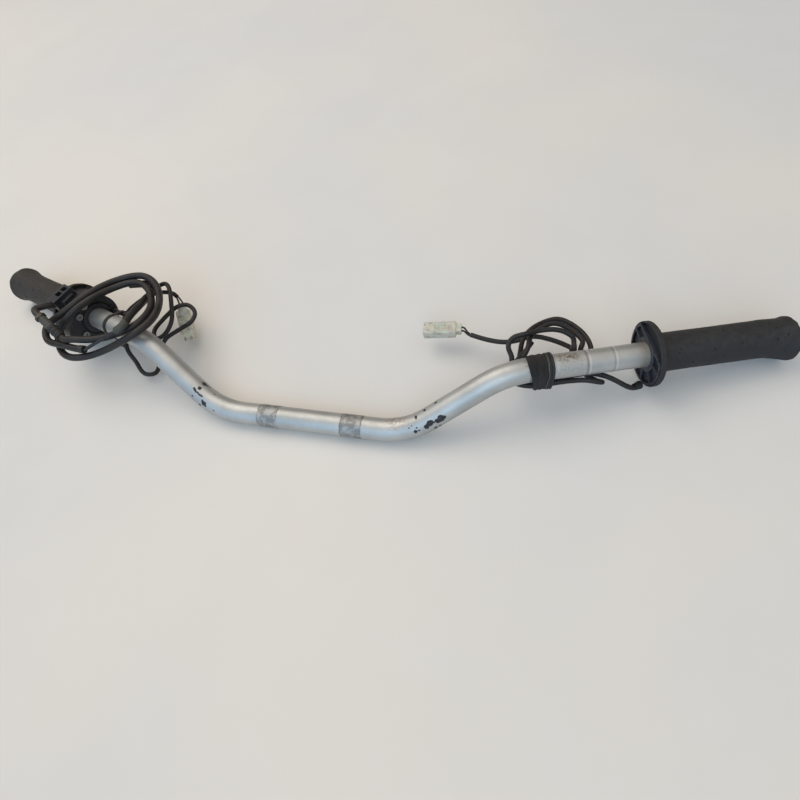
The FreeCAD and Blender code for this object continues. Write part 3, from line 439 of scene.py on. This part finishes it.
def aged_nylon():
    """Translucent natural nylon, yellowed, with brown grime inside and scuffed edges."""
    shader = Shader("aged_nylon")
    cloud = shader.noise(120, 5, 0.65)
    base = shader.mix(shader.ramp(cloud, 0.35, 0.68), (0.80, 0.79, 0.70), (0.70, 0.67, 0.53))
    grime = shader.ramp(shader.noise(330, 5, 0.75), 0.55, 0.70)
    base = shader.mix(shader.product(grime, 0.45), base, (0.33, 0.25, 0.16))
    hollow = shader.ramp(shader.pointiness(), 0.38, 0.48, 1.0, 0.0)
    base = shader.mix(shader.product(hollow, 0.6), base, (0.36, 0.28, 0.19))
    streaks = shader.ramp(shader.noise(230, 6, 0.8, shader.stretched(0.45, 1, 1)), 0.53, 0.60)
    base = shader.mix(shader.product(streaks, 0.55), base, (0.22, 0.17, 0.11))
    flecks = shader.ramp(shader.cells(420), 0.10, 0.20, 1.0, 0.0)
    flecks = shader.product(flecks, shader.ramp(cloud, 0.5, 0.6))
    base = shader.mix(shader.product(flecks, 0.8), base, (0.05, 0.04, 0.03))
    edge = shader.ramp(shader.pointiness(), 0.52, 0.60)
    base = shader.mix(shader.product(edge, 0.6), base, (0.90, 0.90, 0.86))
    rough = shader.lerp(cloud, 0.22, 0.48)
    shader.bump(shader.noise(600, 4, 0.7), 0.08 * MM)
    return shader.finish(
        base, rough, Transmission_Weight=0.32, IOR=1.5, Subsurface_Weight=0.35, Subsurface_Scale=3 * MM,
    )


def cloth_tape_look():
    """Woven friction tape: crossed threads, tar stains and pale rubbed fibres."""
    shader = Shader("cloth_tape")
    station = shader.station(LEFT_ARM)
    around = shader.around(LEFT_ARM)
    slant = shader.math("MULTIPLY_ADD", around, 0.9 * MM, station)
    warp = shader.math("SINE", shader.product(slant, 7800))
    weft = shader.math("SINE", shader.product(around, 145))
    weave = shader.product(warp, weft)
    cloud = shader.noise(110, 5, 0.7)
    base = shader.mix(shader.ramp(cloud, 0.35, 0.68), (0.008, 0.0068, 0.006), (0.022, 0.018, 0.0145))
    fibres = shader.noise(900, 5, 0.8, shader.stretched(1, 0.3, 0.3))
    pale = shader.product(shader.ramp(fibres, 0.54, 0.70), shader.ramp(weave, -0.2, 0.9))
    base = shader.mix(shader.product(pale, 0.5), base, (0.10, 0.083, 0.062))
    shader.bump(weave, 0.22 * MM)
    shader.bump(fibres, 0.5 * MM)
    return shader.finish(base, shader.lerp(cloud, 0.72, 0.95), Sheen_Weight=0.05, Sheen_Roughness=0.6)


def heater_film():
    """Amber film with thin metal tracks wound around it."""
    shader = Shader("heater_film")
    track = shader.math("SINE", shader.product(shader.station(LEFT_ARM), 2600))
    metal = shader.ramp(track, 0.2, 0.35)
    base = shader.mix(metal, (0.42, 0.17, 0.03), (0.55, 0.47, 0.33))
    return shader.finish(base, 0.35, shader.product(metal, 0.8))


def floor_look():
    """Pale, slightly mottled sheet."""
    shader = Shader("pale_floor")
    cloud = shader.noise(2.2, 3, 0.5)
    fine = shader.noise(14, 4, 0.6)
    base = shader.mix(shader.ramp(cloud, 0.35, 0.68), (0.69, 0.67, 0.65), (0.745, 0.70, 0.645))
    base = shader.mix(shader.product(shader.ramp(fine, 0.4, 0.7), 0.2), base, (0.75, 0.73, 0.71))
    return shader.finish(base, 0.55, Specular_IOR_Level=0.25)


MATERIALS = {
    "painted_tube": silver_tube(),
    "grip_rubber": grip_rubber_look("grip_rubber", (0.021, 0.021, 0.0225)),
    "throttle_rubber": grip_rubber_look("throttle_rubber", (0.030, 0.0255, 0.0225)),
    "grip_core_plastic": moulded_plastic("grip_core_plastic", (0.011, 0.014, 0.022)),
    "heater_foil": heater_film(),
    "housing_plastic": moulded_plastic("housing_plastic", (0.012, 0.013, 0.017), 0.36),
    "screw_steel": worn_metal("screw_steel", (0.34, 0.335, 0.32), 0.38, 0.3),
    "elbow_metal": cable_plastic("elbow_coating", (0.030, 0.026, 0.024), 0.38),
    "adjuster_plastic": moulded_plastic("adjuster_plastic", (0.040, 0.040, 0.033), 0.55),
    "boot_rubber": grip_rubber_look("boot_rubber", (0.020, 0.020, 0.020)),
    "cable_jacket": cable_plastic("cable_jacket", (0.0145, 0.0125, 0.0122), 0.36),
    "heater_jacket": cable_plastic("heater_jacket", (0.012, 0.0115, 0.012), 0.42),
    "ferrule_metal": worn_metal("ferrule_metal", (0.075, 0.070, 0.064), 0.46, 0.5),
    "cord": cable_plastic("cord", (0.15, 0.14, 0.125), 0.6),
    "liner_plastic": cable_plastic("liner_plastic", (0.013, 0.014, 0.018), 0.18),
    "wire_steel": worn_metal("wire_steel", (0.55, 0.54, 0.52), 0.35, 0.25),
    "nipple_brass": worn_metal("nipple_brass", (0.72, 0.55, 0.28), 0.34, 0.1),
    "nylon_connector": aged_nylon(),
    "terminal_brass": worn_metal("terminal_brass", (0.68, 0.56, 0.36), 0.3, 0.15),
    "wire_insulation": cable_plastic("wire_insulation", (0.012, 0.012, 0.013), 0.3),
    "friction_tape": cloth_tape_look(),
    "strap_rubber": grip_rubber_look("strap_rubber", (0.017, 0.017, 0.018)),
    "tie_nylon": moulded_plastic("tie_nylon", (0.016, 0.016, 0.017), 0.4),
}


def dress(piece, slot):
    """Give a mesh one material, whatever it carried before."""
    piece.data.materials.clear()
    piece.data.materials.append(MATERIALS[slot])


SLOT_OF = {entry["node"]: entry["material_slot"] for entry in frame["record"]["subparts"]}
for node_name, node_object in NODES.items():
    dress(node_object, SLOT_OF[node_name])


# ---------------------------------------------------------------- mesh helpers

def new_piece(name, vertices, faces, body, slot, look=None):
    """Smooth-shaded mesh that rides on a body; look is its material where that isn't the slot's own."""
    mesh = bpy.data.meshes.new(name)
    mesh.from_pydata([tuple(v) for v in vertices], [], faces)
    mesh.update()
    for polygon in mesh.polygons:
        polygon.use_smooth = True
    piece = bpy.data.objects.new(name, mesh)
    bpy.context.scene.collection.objects.link(piece)
    dress(piece, look or slot)
    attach(piece, body)
    return piece


def apply_modifiers(piece):
    """Replace a piece's mesh with what its modifiers make of it."""
    depsgraph = bpy.context.evaluated_depsgraph_get()
    mesh = bpy.data.meshes.new_from_object(piece.evaluated_get(depsgraph))
    piece.modifiers.clear()
    piece.data = mesh


def moulded_copy(node, name, voxel, rounds):
    """Copy of a CAD node remeshed so that its sharp edges become the small radii of a moulding."""
    piece = bpy.data.objects.new(name, NODES[node].data.copy())
    bpy.context.scene.collection.objects.link(piece)
    remesh = piece.modifiers.new("remesh", "REMESH")
    remesh.mode = "VOXEL"
    remesh.voxel_size = voxel
    soften = piece.modifiers.new("soften", "SMOOTH")
    soften.factor = 0.5
    soften.iterations = rounds
    apply_modifiers(piece)
    for polygon in piece.data.polygons:
        polygon.use_smooth = True
    dress(piece, SLOT_OF[node])
    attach(piece, ROOT)
    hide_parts(node)


def grid_faces(rows, columns, ring=False):
    """Quads between consecutive closed loops of vertices, and from the last to the first in a ring."""
    faces = []
    for row in range(rows if ring else rows - 1):
        near = row * columns
        far = (row + 1) % rows * columns
        for column in range(columns):
            following = (column + 1) % columns
            faces.append((near + column, near + following, far + following, far + column))
    return faces


# ---------------------------------------------------------------- grips

GRIP_OUTLINE = (
    # (distance from the grip's start, radius) in mm, outside from the cup's rim to the closed end
    (0.8, 27.6), (0.8, 28.6), (1.1, 29.0), (4.9, 29.0), (5.6, 28.7), (6.3, 27.8), (6.7, 26.4), (7.2, 23.6),
    (8.0, 21.2), (9.4, 19.2), (11.5, 18.0), (14.0, 17.4), (18.0, 17.0), (40.0, 16.9), (80.0, 16.8),
    (98.0, 16.8), (106.0, 17.05), (113.0, 17.6), (119.0, 18.4), (124.0, 19.5), (126.2, 19.9), (127.8, 19.7),
    (128.8, 18.9), (129.4, 17.4), (129.5, 6.0), (129.5, 0.6),
)
GRIP_INSIDE = ((0.8, 27.6), (3.7, 27.6), (3.7, 13.2))

# In mm: the waist's radius, the radius of the flat end, the places where the grip and its bore end and
# where its rim is widest, the distance between points, and how far a pock mark can reach.
GRIP_WAIST = 16.8
GRIP_FLAT = 17
GRIP_END = 129.5
GRIP_BORE_END = 126.6
GRIP_RIM = 126.2
GRIP_STEP = 0.65
INSIDE_STEP = 1.5
POCK_REACH = 1.8
GRIP_COLUMNS = 240
POCK_ROWS = 9
POCKS_PER_ROW = 6
LIP_DIRECTION = math.radians(123)


def dense_outline(points, step):
    """Points of an outline with extra ones so that none are further apart than step."""
    dense = [points[0]]
    for (z0, r0), (z1, r1) in zip(points, points[1:]):
        count = max(1, math.ceil(math.hypot(z1 - z0, r1 - r0) / step))
        for index in range(1, count + 1):
            share = index / count
            dense.append((z0 + (z1 - z0) * share, r0 + (r1 - r0) * share))
    return dense


def pock_marks(seed):
    """Scattered small dents: (distance along, angle, half length, half width, depth, slant)."""
    dice = random.Random(seed)
    marks = []
    for row in range(POCK_ROWS):
        for _ in range(POCKS_PER_ROW):
            along = dice.uniform(18, 118)
            angle = (row + dice.uniform(-0.3, 0.3)) * 2 * math.pi / POCK_ROWS
            length = dice.uniform(0.9, 1.7)
            width = dice.uniform(0.6, 1.0)
            depth = dice.uniform(0.35, 1.0)
            slant = dice.uniform(-0.9, 0.9)
            marks.append((along, angle, length, width, depth, slant))
    return marks


def dent(along, angle, marks):
    """How deep a place lies in a dent, from 0 outside to 1 in the middle of a deep one."""
    depth = 0.0
    for z, turn, length, width, deep, slant in marks:
        if abs(along - z) > POCK_REACH:
            continue
        arc = ((angle - turn + math.pi) % (2 * math.pi) - math.pi) * GRIP_WAIST
        if abs(arc) > POCK_REACH:
            continue
        u = (along - z) * math.cos(slant) + arc * math.sin(slant)
        v = arc * math.cos(slant) - (along - z) * math.sin(slant)
        distance = math.hypot(u / length, v / width)
        if distance < 1:
            depth = max(depth, deep * (1 - distance * distance))
    return depth


def smooth_step(value, low, high):
    """0 below low, 1 above high, and a smooth rise between."""
    share = min(1.0, max(0.0, (value - low) / (high - low)))
    return share * share * (3 - 2 * share)


def grip(name, arm, node, body, look, seed, lip):
    """Rubber grip: cupped flange, slim waist, flared end, with dents, waves and a chewed rim.

    The lip is how far the worn rim hangs down in front, in mm.
    """
    inside = [(z, radius, False) for z, radius in reversed(dense_outline(GRIP_INSIDE, INSIDE_STEP))][:-1]
    rings = inside + [(z, radius, True) for z, radius in dense_outline(GRIP_OUTLINE, GRIP_STEP)]
    marks = pock_marks(seed)
    vertices = []
    pocks = []
    for z, radius, outside in rings:
        flare = smooth_step(z, 102, GRIP_RIM)
        towards_middle = min(1.0, radius / GRIP_FLAT)
        for column in range(GRIP_COLUMNS):
            angle = 2 * math.pi * column / GRIP_COLUMNS
            offset = 0.0
            along = z
            pock = 0.0
            wave = noise.noise(Vector((z * 0.12, 2.2 * math.cos(angle), 2.2 * math.sin(angle) + seed)))
            if outside and z > 10:
                pock = dent(z, angle, marks)
                offset -= 1.1 * pock
                offset += 0.22 * noise.noise(Vector((z * 0.055, math.cos(angle), math.sin(angle) + seed)))
                offset += flare * (0.5 * wave - 0.1 * lip + lip * math.cos(angle - LIP_DIRECTION))
                chew = noise.noise(Vector((seed, 4.5 * math.cos(angle), 4.5 * math.sin(angle))))
                drift = smooth_step(z, 120, GRIP_END) * (0.7 * wave + (0.25 + 0.22 * lip) * chew - 0.5)
                along += drift * towards_middle
            elif radius > 27.8:
                rag = noise.noise(Vector((z * 0.4, 5 * math.cos(angle), 5 * math.sin(angle) + seed)))
                offset += 0.18 * rag - 0.1
            reach = max(radius + offset * towards_middle, 0.05) * MM
            vertices.append(arm.point(
                GRIP_START + along * MM, reach * math.sin(angle), reach * math.cos(angle),
            ))
            pocks.append(min(1.0, 1.6 * pock))
    rows = len(rings)
    faces = grid_faces(rows, GRIP_COLUMNS)
    last = (rows - 1) * GRIP_COLUMNS
    faces.append(tuple(range(last, last + GRIP_COLUMNS)))
    piece = new_piece(name, vertices, faces, body, "grip_rubber", look)
    add_inner_wall(piece, arm)
    values = pocks + [0.0] * (len(piece.data.vertices) - len(pocks))
    piece.data.attributes.new("pock", "FLOAT", "POINT").data.foreach_set("value", values)
    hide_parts(node)


def add_inner_wall(piece, arm):
    """Close the grip with the bore that faces the heating foil."""
    mesh = bmesh.new()
    mesh.from_mesh(piece.data)
    boundary = [edge for edge in mesh.edges if edge.is_boundary]
    made = bmesh.ops.extrude_edge_only(mesh, edges=boundary)
    moved = [item for item in made["geom"] if isinstance(item, bmesh.types.BMVert)]
    for vertex in moved:
        vertex.co += arm.out * ((GRIP_BORE_END - GRIP_INSIDE[-1][0]) * MM)
    edges = [item for item in made["geom"] if isinstance(item, bmesh.types.BMEdge)]
    bmesh.ops.contextual_create(mesh, geom=[edge for edge in edges if edge.is_boundary])
    bmesh.ops.recalc_face_normals(mesh, faces=mesh.faces)
    mesh.to_mesh(piece.data)
    mesh.free()


grip("left_grip_skin", LEFT_ARM, "left_grip_rubber", ROOT, "grip_rubber", 4, 2.3)
grip("throttle_grip_skin", THROTTLE_ARM, "throttle_grip_rubber", GRIP_BODY, "throttle_rubber", 9, 0.3)


# ---------------------------------------------------------------- tape and strap

# Cable strands under the left arm, by (front, up, radius) in mm, with the bar itself first.
STRANDS = ((0.0, 0.0, TUBE_RADIUS), (2.8, -13.7, 2.5), (9.0, -12.4, 2.5), (-5.1, -13.7, 2.5))

# In mm: the gap under tape and strap, the lowest place and height of the belt that they follow, and the
# stations of the tape's two edges, the inboard one with how far it slants.
BELT_GAP = 0.15
BELT_LOW = -14
BELT_HEIGHT = 27
TAPE_START = 23.6
TAPE_SLANT = 6.6
TAPE_END = 34.3
BELT_STEPS = 720
TAPE_TURNS = 2.6
TAPE_COLUMNS = 260
TAPE_ROWS = 64
FRAY_COUNT = 46
FRAY_PLACES = 400
FRAY_POINTS = 5


def belt_loop(gap, count):
    """Points (front, up) in mm, evenly spaced on a belt pulled tight round the bar and the strands."""
    outline = []
    for index in range(BELT_STEPS):
        angle = 2 * math.pi * index / BELT_STEPS
        normal = (math.sin(angle), math.cos(angle))
        front, up, radius = max(STRANDS, key=lambda c: c[0] * normal[0] + c[1] * normal[1] + c[2])
        outline.append((front + normal[0] * (radius + gap), up + normal[1] * (radius + gap)))
    lengths = [0.0]
    for first, second in zip(outline, outline[1:] + outline[:1]):
        lengths.append(lengths[-1] + math.dist(first, second))
    closed = outline + outline[:1]
    loop = []
    place = 0
    for index in range(count):
        target = lengths[-1] * index / count
        while lengths[place + 1] < target:
            place += 1
        span = lengths[place + 1] - lengths[place]
        share = (target - lengths[place]) / span if span > 0 else 0.0
        first, second = closed[place], closed[place + 1]
        loop.append((first[0] + (second[0] - first[0]) * share, first[1] + (second[1] - first[1]) * share))
    return loop


def tape_edge(up):
    """Station of the tape's inboard edge, which slants from the belt's bottom to its top."""
    return TAPE_START - TAPE_SLANT * min(1, max(0, (up - BELT_LOW) / BELT_HEIGHT))


def outward(front, up):
    """Direction away from the middle of the bar and its strands."""
    return Vector((front, up + 3)).normalized()


def tape_wrap():
    """Cloth tape wound in overlapping turns, with a slanted, frayed inboard edge."""
    inner = belt_loop(BELT_GAP, TAPE_COLUMNS)
    vertices = []
    for row in range(TAPE_ROWS):
        share = row / (TAPE_ROWS - 1)
        for front, up in inner:
            start = tape_edge(up) + 0.35 * noise.noise(Vector((front * 0.9, up * 0.9, 3.1)))
            station = start + (TAPE_END - start) * share
            angle = math.atan2(front, up)
            turn = (share * TAPE_TURNS + angle / (2 * math.pi)) % 1.0
            thick = 0.95 + 0.6 * turn
            thick += 0.42 * noise.noise(Vector((station * 0.35, front * 0.28, up * 0.28)))
            thick += 0.22 * noise.noise(Vector((station * 1.1, front * 0.8, up * 0.8)))
            if row in (0, TAPE_ROWS - 1):
                thick *= 0.35
            away = outward(front, up)
            vertices.append(LEFT_ARM.point(
                station * MM, (front + away.x * thick) * MM, (up + away.y * thick) * MM,
            ))
    for row in (TAPE_ROWS - 1, 0):
        for column, (front, up) in enumerate(inner):
            outer = vertices[row * TAPE_COLUMNS + column]
            station = (outer - LEFT_ARM.corner).dot(LEFT_ARM.out)
            vertices.append(LEFT_ARM.point(station, front * MM, up * MM))
    faces = grid_faces(TAPE_ROWS + 2, TAPE_COLUMNS, ring=True)
    piece = new_piece("tape_wrap", vertices, faces, ROOT, "friction_tape")
    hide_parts("cloth_tape")


def thread(name, points, radius, slot, sides=6, look=None):
    """Round strand through points, closed at both ends."""
    vertices = []
    count = len(points)
    for index, point in enumerate(points):
        before = points[max(0, index - 1)]
        after = points[min(count - 1, index + 1)]
        heading = (after - before).normalized()
        side = heading.cross(Vector((0.3, 0.2, 0.93))).normalized()
        over = heading.cross(side)
        for step in range(sides):
            angle = 2 * math.pi * step / sides
            vertices.append(point + (side * math.cos(angle) + over * math.sin(angle)) * radius)
    faces = grid_faces(count, sides)
    faces.append(tuple(reversed(range(sides))))
    faces.append(tuple(range((count - 1) * sides, count * sides)))
    return new_piece(name, vertices, faces, ROOT, slot, look)


def frayed_threads():
    """Loose threads at both edges of the tape, joined into one piece."""
    dice = random.Random(21)
    loop = belt_loop(1.5, FRAY_PLACES)
    strands = []
    for index in range(FRAY_COUNT):
        front, up = loop[dice.randrange(FRAY_PLACES)]
        inboard = dice.random() < 0.75
        station = tape_edge(up) - 0.2 if inboard else TAPE_END
        drift = -1 if inboard else 1
        away = outward(front, up)
        length = dice.uniform(0.8, 2.6)
        lift = dice.uniform(-0.4, 0.5)
        sweep = dice.uniform(-1.2, 1.2)
        points = []
        for step in range(FRAY_POINTS):
            share = step / (FRAY_POINTS - 1)
            sideways = Vector((away.y, -away.x)) * (sweep * share * share)
            rise = -0.5 + lift * share * share
            points.append(LEFT_ARM.point(
                (station + drift * length * share) * MM,
                (front + away.x * rise + sideways.x) * MM,
                (up + away.y * rise + sideways.y) * MM,
            ))
        strands.append(thread(f"fray_{index}", points, 0.09 * MM, "friction_tape"))
    join_pieces(strands, "tape_fray")


def join_pieces(pieces, name):
    """Merge several pieces of one material into the first and rename it."""
    mesh = bmesh.new()
    for piece in pieces:
        mesh.from_mesh(piece.data)
    keep = pieces[0]
    mesh.to_mesh(keep.data)
    mesh.free()
    for polygon in keep.data.polygons:
        polygon.use_smooth = True
    for piece in pieces[1:]:
        bpy.data.objects.remove(piece)
    keep.name = name


def strap_band():
    """Rubber strap beside the tape, in two turns with a groove between them."""
    profile = (
        # (station, thickness) in mm
        (34.5, 0.2), (34.6, 1.5), (35.1, 1.9), (36.3, 1.95), (36.9, 1.6), (37.1, 1.35), (37.4, 1.7),
        (38.1, 2.1), (39.1, 2.05), (39.5, 1.6), (39.6, 0.2),
    )
    vertices = []
    for station, thick in profile:
        for front, up in belt_loop(BELT_GAP, TAPE_COLUMNS):
            away = outward(front, up)
            wave = 0.3 * noise.noise(Vector((front * 0.16, up * 0.16, 8.0)))
            lean = 0.36 * up / 14
            vertices.append(LEFT_ARM.point(
                (station + wave + lean) * MM,
                (front + away.x * thick) * MM,
                (up + away.y * thick) * MM,
            ))
    faces = grid_faces(len(profile), TAPE_COLUMNS, ring=True)
    piece = new_piece("strap_band", vertices, faces, ROOT, "strap_rubber")
    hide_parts("cable_strap")


def pale_cord():
    """Thin worn cord lying in the groove between the strap and the tape."""
    loop = belt_loop(1.75, 160)
    points = []
    for index, (front, up) in enumerate(loop + loop[:1]):
        station = TAPE_END + 0.1 + 0.5 * up / 14 + 0.35 * noise.noise(Vector((index * 0.08, 0.5, 0.2)))
        points.append(LEFT_ARM.point(station * MM, front * MM, up * MM))
    thread("strap_cord", points, 0.22 * MM, "strap_rubber", look="cord")


def folded_strand():
    """Short folded end of heater cable that stands up behind the left bend."""
    start = Vector((187, 66, 31))
    tip = Vector((199.8, 91, 30.2))
    sag = Vector((0.6, -0.3, 0.3))
    count = 17
    points = []
    for step in range(count):
        share = step / (count - 1)
        points.append((start.lerp(tip, share) + sag * math.sin(share * math.pi)) * MM)
    thread("folded_strand", points, 2.2 * MM, "heater_jacket", 16)


tape_wrap()
frayed_threads()
strap_band()
pale_cord()
folded_strand()


# ---------------------------------------------------------------- knurled clamp bands

def knurled_band(name, side):
    """Rolled diamond pattern that stands just proud of the tube where a clamp holds it."""
    low, high = sorted((side * KNURL_START, side * KNURL_END))
    vertices = []
    for row in range(KNURL_ROWS):
        along = (low + (high - low) * row / (KNURL_ROWS - 1) + KNURL_SHIFT) / MM
        for column in range(KNURL_COLUMNS):
            angle = 2 * math.pi * column / KNURL_COLUMNS
            worn = 0.75 + 0.5 * noise.noise(Vector((along * 0.3, 2 * math.cos(angle), 2 * math.sin(angle))))
            one = math.sin(along * KNURL_WAVE + angle * KNURL_TURNS)
            other = math.sin(along * KNURL_WAVE - angle * KNURL_TURNS)
            ridge = 0.5 + 0.5 * max(one, other)
            reach = TUBE_RADIUS + 0.02 + KNURL_HEIGHT * worn * ridge
            if row in (0, KNURL_ROWS - 1):
                reach = TUBE_RADIUS - 0.1
            vertices.append(Vector((along, reach * math.cos(angle), reach * math.sin(angle))) * MM)
    new_piece(name, vertices, grid_faces(KNURL_ROWS, KNURL_COLUMNS, ring=True), ROOT, "painted_tube")


knurled_band("left_knurl", 1)
knurled_band("throttle_knurl", -1)


# ---------------------------------------------------------------- moulded pieces

for part in ("cover", "body"):
    moulded_copy(f"throttle_housing_{part}", f"housing_{part}_moulding", 0.45 * MM, 6)
for side in ("left", "right"):
    moulded_copy(f"{side}_connector_housing", f"{side}_connector_shell", 0.24 * MM, 5)
for part in ("boot", "sleeve"):
    moulded_copy(f"adjuster_{part}", f"{part}_moulding", 0.25 * MM, 6)
moulded_copy("cable_tie", "tie_moulding", 0.22 * MM, 3)
for side in ("left", "right"):
    moulded_copy(f"{side}_cable_grommet", f"{side}_grommet_moulding", 0.22 * MM, 4)


# ---------------------------------------------------------------- floor, light and camera

FLOOR_GAP = 0.2 * MM
FLOOR_REACH = 40.0
CAMERA_PLACE = (227.7 * MM, -241.8 * MM, 479.8 * MM)
CAMERA_FORWARD = (-0.2527, 0.4819, -0.8390)
CAMERA_RIGHT = (0.9620, 0.2180, -0.1646)
CAMERA_LENS = 27.0
CAMERA_SENSOR = 36.0


def pale_floor():
    """Flat sheet just under the lowest point of the handlebar."""
    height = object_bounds()[0][2] - FLOOR_GAP
    corners = [(FLOOR_REACH * x, FLOOR_REACH * y, height) for x, y in ((-1, -1), (1, -1), (1, 1), (-1, 1))]
    mesh = bpy.data.meshes.new("floor")
    mesh.from_pydata(corners, [], [(0, 1, 2, 3)])
    floor = bpy.data.objects.new("floor", mesh)
    bpy.context.scene.collection.objects.link(floor)
    floor.data.materials.append(floor_look())
    floor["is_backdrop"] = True


def area_light(name, place, target, size, power, colour):
    """Round soft light aimed at a target."""
    data = bpy.data.lights.new(name, "AREA")
    data.shape = "DISK"
    data.size = size
    data.energy = power
    data.color = colour
    lamp = bpy.data.objects.new(name, data)
    bpy.context.scene.collection.objects.link(lamp)
    lamp.location = place
    lamp.rotation_euler = (Vector(target) - Vector(place)).to_track_quat("-Z", "Y").to_euler()


def room():
    """Surrounding light: warm above, cool in front of the bar, dark behind it, and plain to the eye."""
    world = bpy.data.worlds.new("room")
    bpy.context.scene.world = world
    world.use_nodes = True
    tree = world.node_tree
    tree.nodes.clear()
    place = tree.nodes.new("ShaderNodeTexCoord").outputs["Generated"]

    def towards(direction, low, high):
        dot = tree.nodes.new("ShaderNodeVectorMath")
        dot.operation = "DOT_PRODUCT"
        tree.links.new(place, dot.inputs[0])
        dot.inputs[1].default_value = Vector(direction).normalized()
        step = tree.nodes.new("ShaderNodeMapRange")
        step.interpolation_type = "SMOOTHSTEP"
        tree.links.new(dot.outputs["Value"], step.inputs["Value"])
        step.inputs["From Min"].default_value = low
        step.inputs["From Max"].default_value = high
        return step.outputs[0]

    def blended(amount, first, second):
        mix = tree.nodes.new("ShaderNodeMix")
        mix.data_type = "RGBA"
        tree.links.new(amount, mix.inputs[0])
        for socket, value in ((mix.inputs[6], first), (mix.inputs[7], second)):
            if isinstance(value, tuple):
                socket.default_value = (*value, 1.0)
            else:
                tree.links.new(value, socket)
        return mix.outputs[2]

    colour = blended(towards((0, 0, 1), 0.25, 0.85), (0.34, 0.33, 0.32), (0.95, 0.90, 0.82))
    colour = blended(towards((-0.25, -1, 0.35), 0.62, 0.90), colour, (0.76, 1.16, 1.60))
    colour = blended(towards((0.2, 1, 0.15), 0.55, 0.95), colour, (0.16, 0.15, 0.13))
    seen = tree.nodes.new("ShaderNodeLightPath").outputs["Is Camera Ray"]
    colour = blended(seen, colour, (0.78, 0.77, 0.75))
    background = tree.nodes.new("ShaderNodeBackground")
    tree.links.new(colour, background.inputs["Color"])
    background.inputs["Strength"].default_value = 0.86
    output = tree.nodes.new("ShaderNodeOutputWorld")
    tree.links.new(background.outputs[0], output.inputs[0])


def camera():
    """Hand-held view from in front of the left arm, looking down and across the bar."""
    data = bpy.data.cameras.new("camera")
    data.lens = CAMERA_LENS
    data.sensor_width = CAMERA_SENSOR
    data.clip_start = 10 * MM
    eye = bpy.data.objects.new("camera", data)
    bpy.context.scene.collection.objects.link(eye)
    forward = Vector(CAMERA_FORWARD).normalized()
    right = Vector(CAMERA_RIGHT)
    right = (right - forward * right.dot(forward)).normalized()
    above = right.cross(forward)
    turn = Matrix((right, above, -forward)).transposed().to_4x4()
    eye.matrix_world = Matrix.Translation(CAMERA_PLACE) @ turn
    bpy.context.scene.camera = eye


pale_floor()
room()
area_light("window", (-0.9, 0.65, 1.75), (0, 0.05, 0), 1.7, 14, (1.0, 0.93, 0.85))
area_light("fill", (0.4, -1.3, 1.2), (0, 0, 0), 1.2, 5, (0.82, 0.92, 1.0))
camera()
bpy.context.scene.view_settings.view_transform = "Standard"
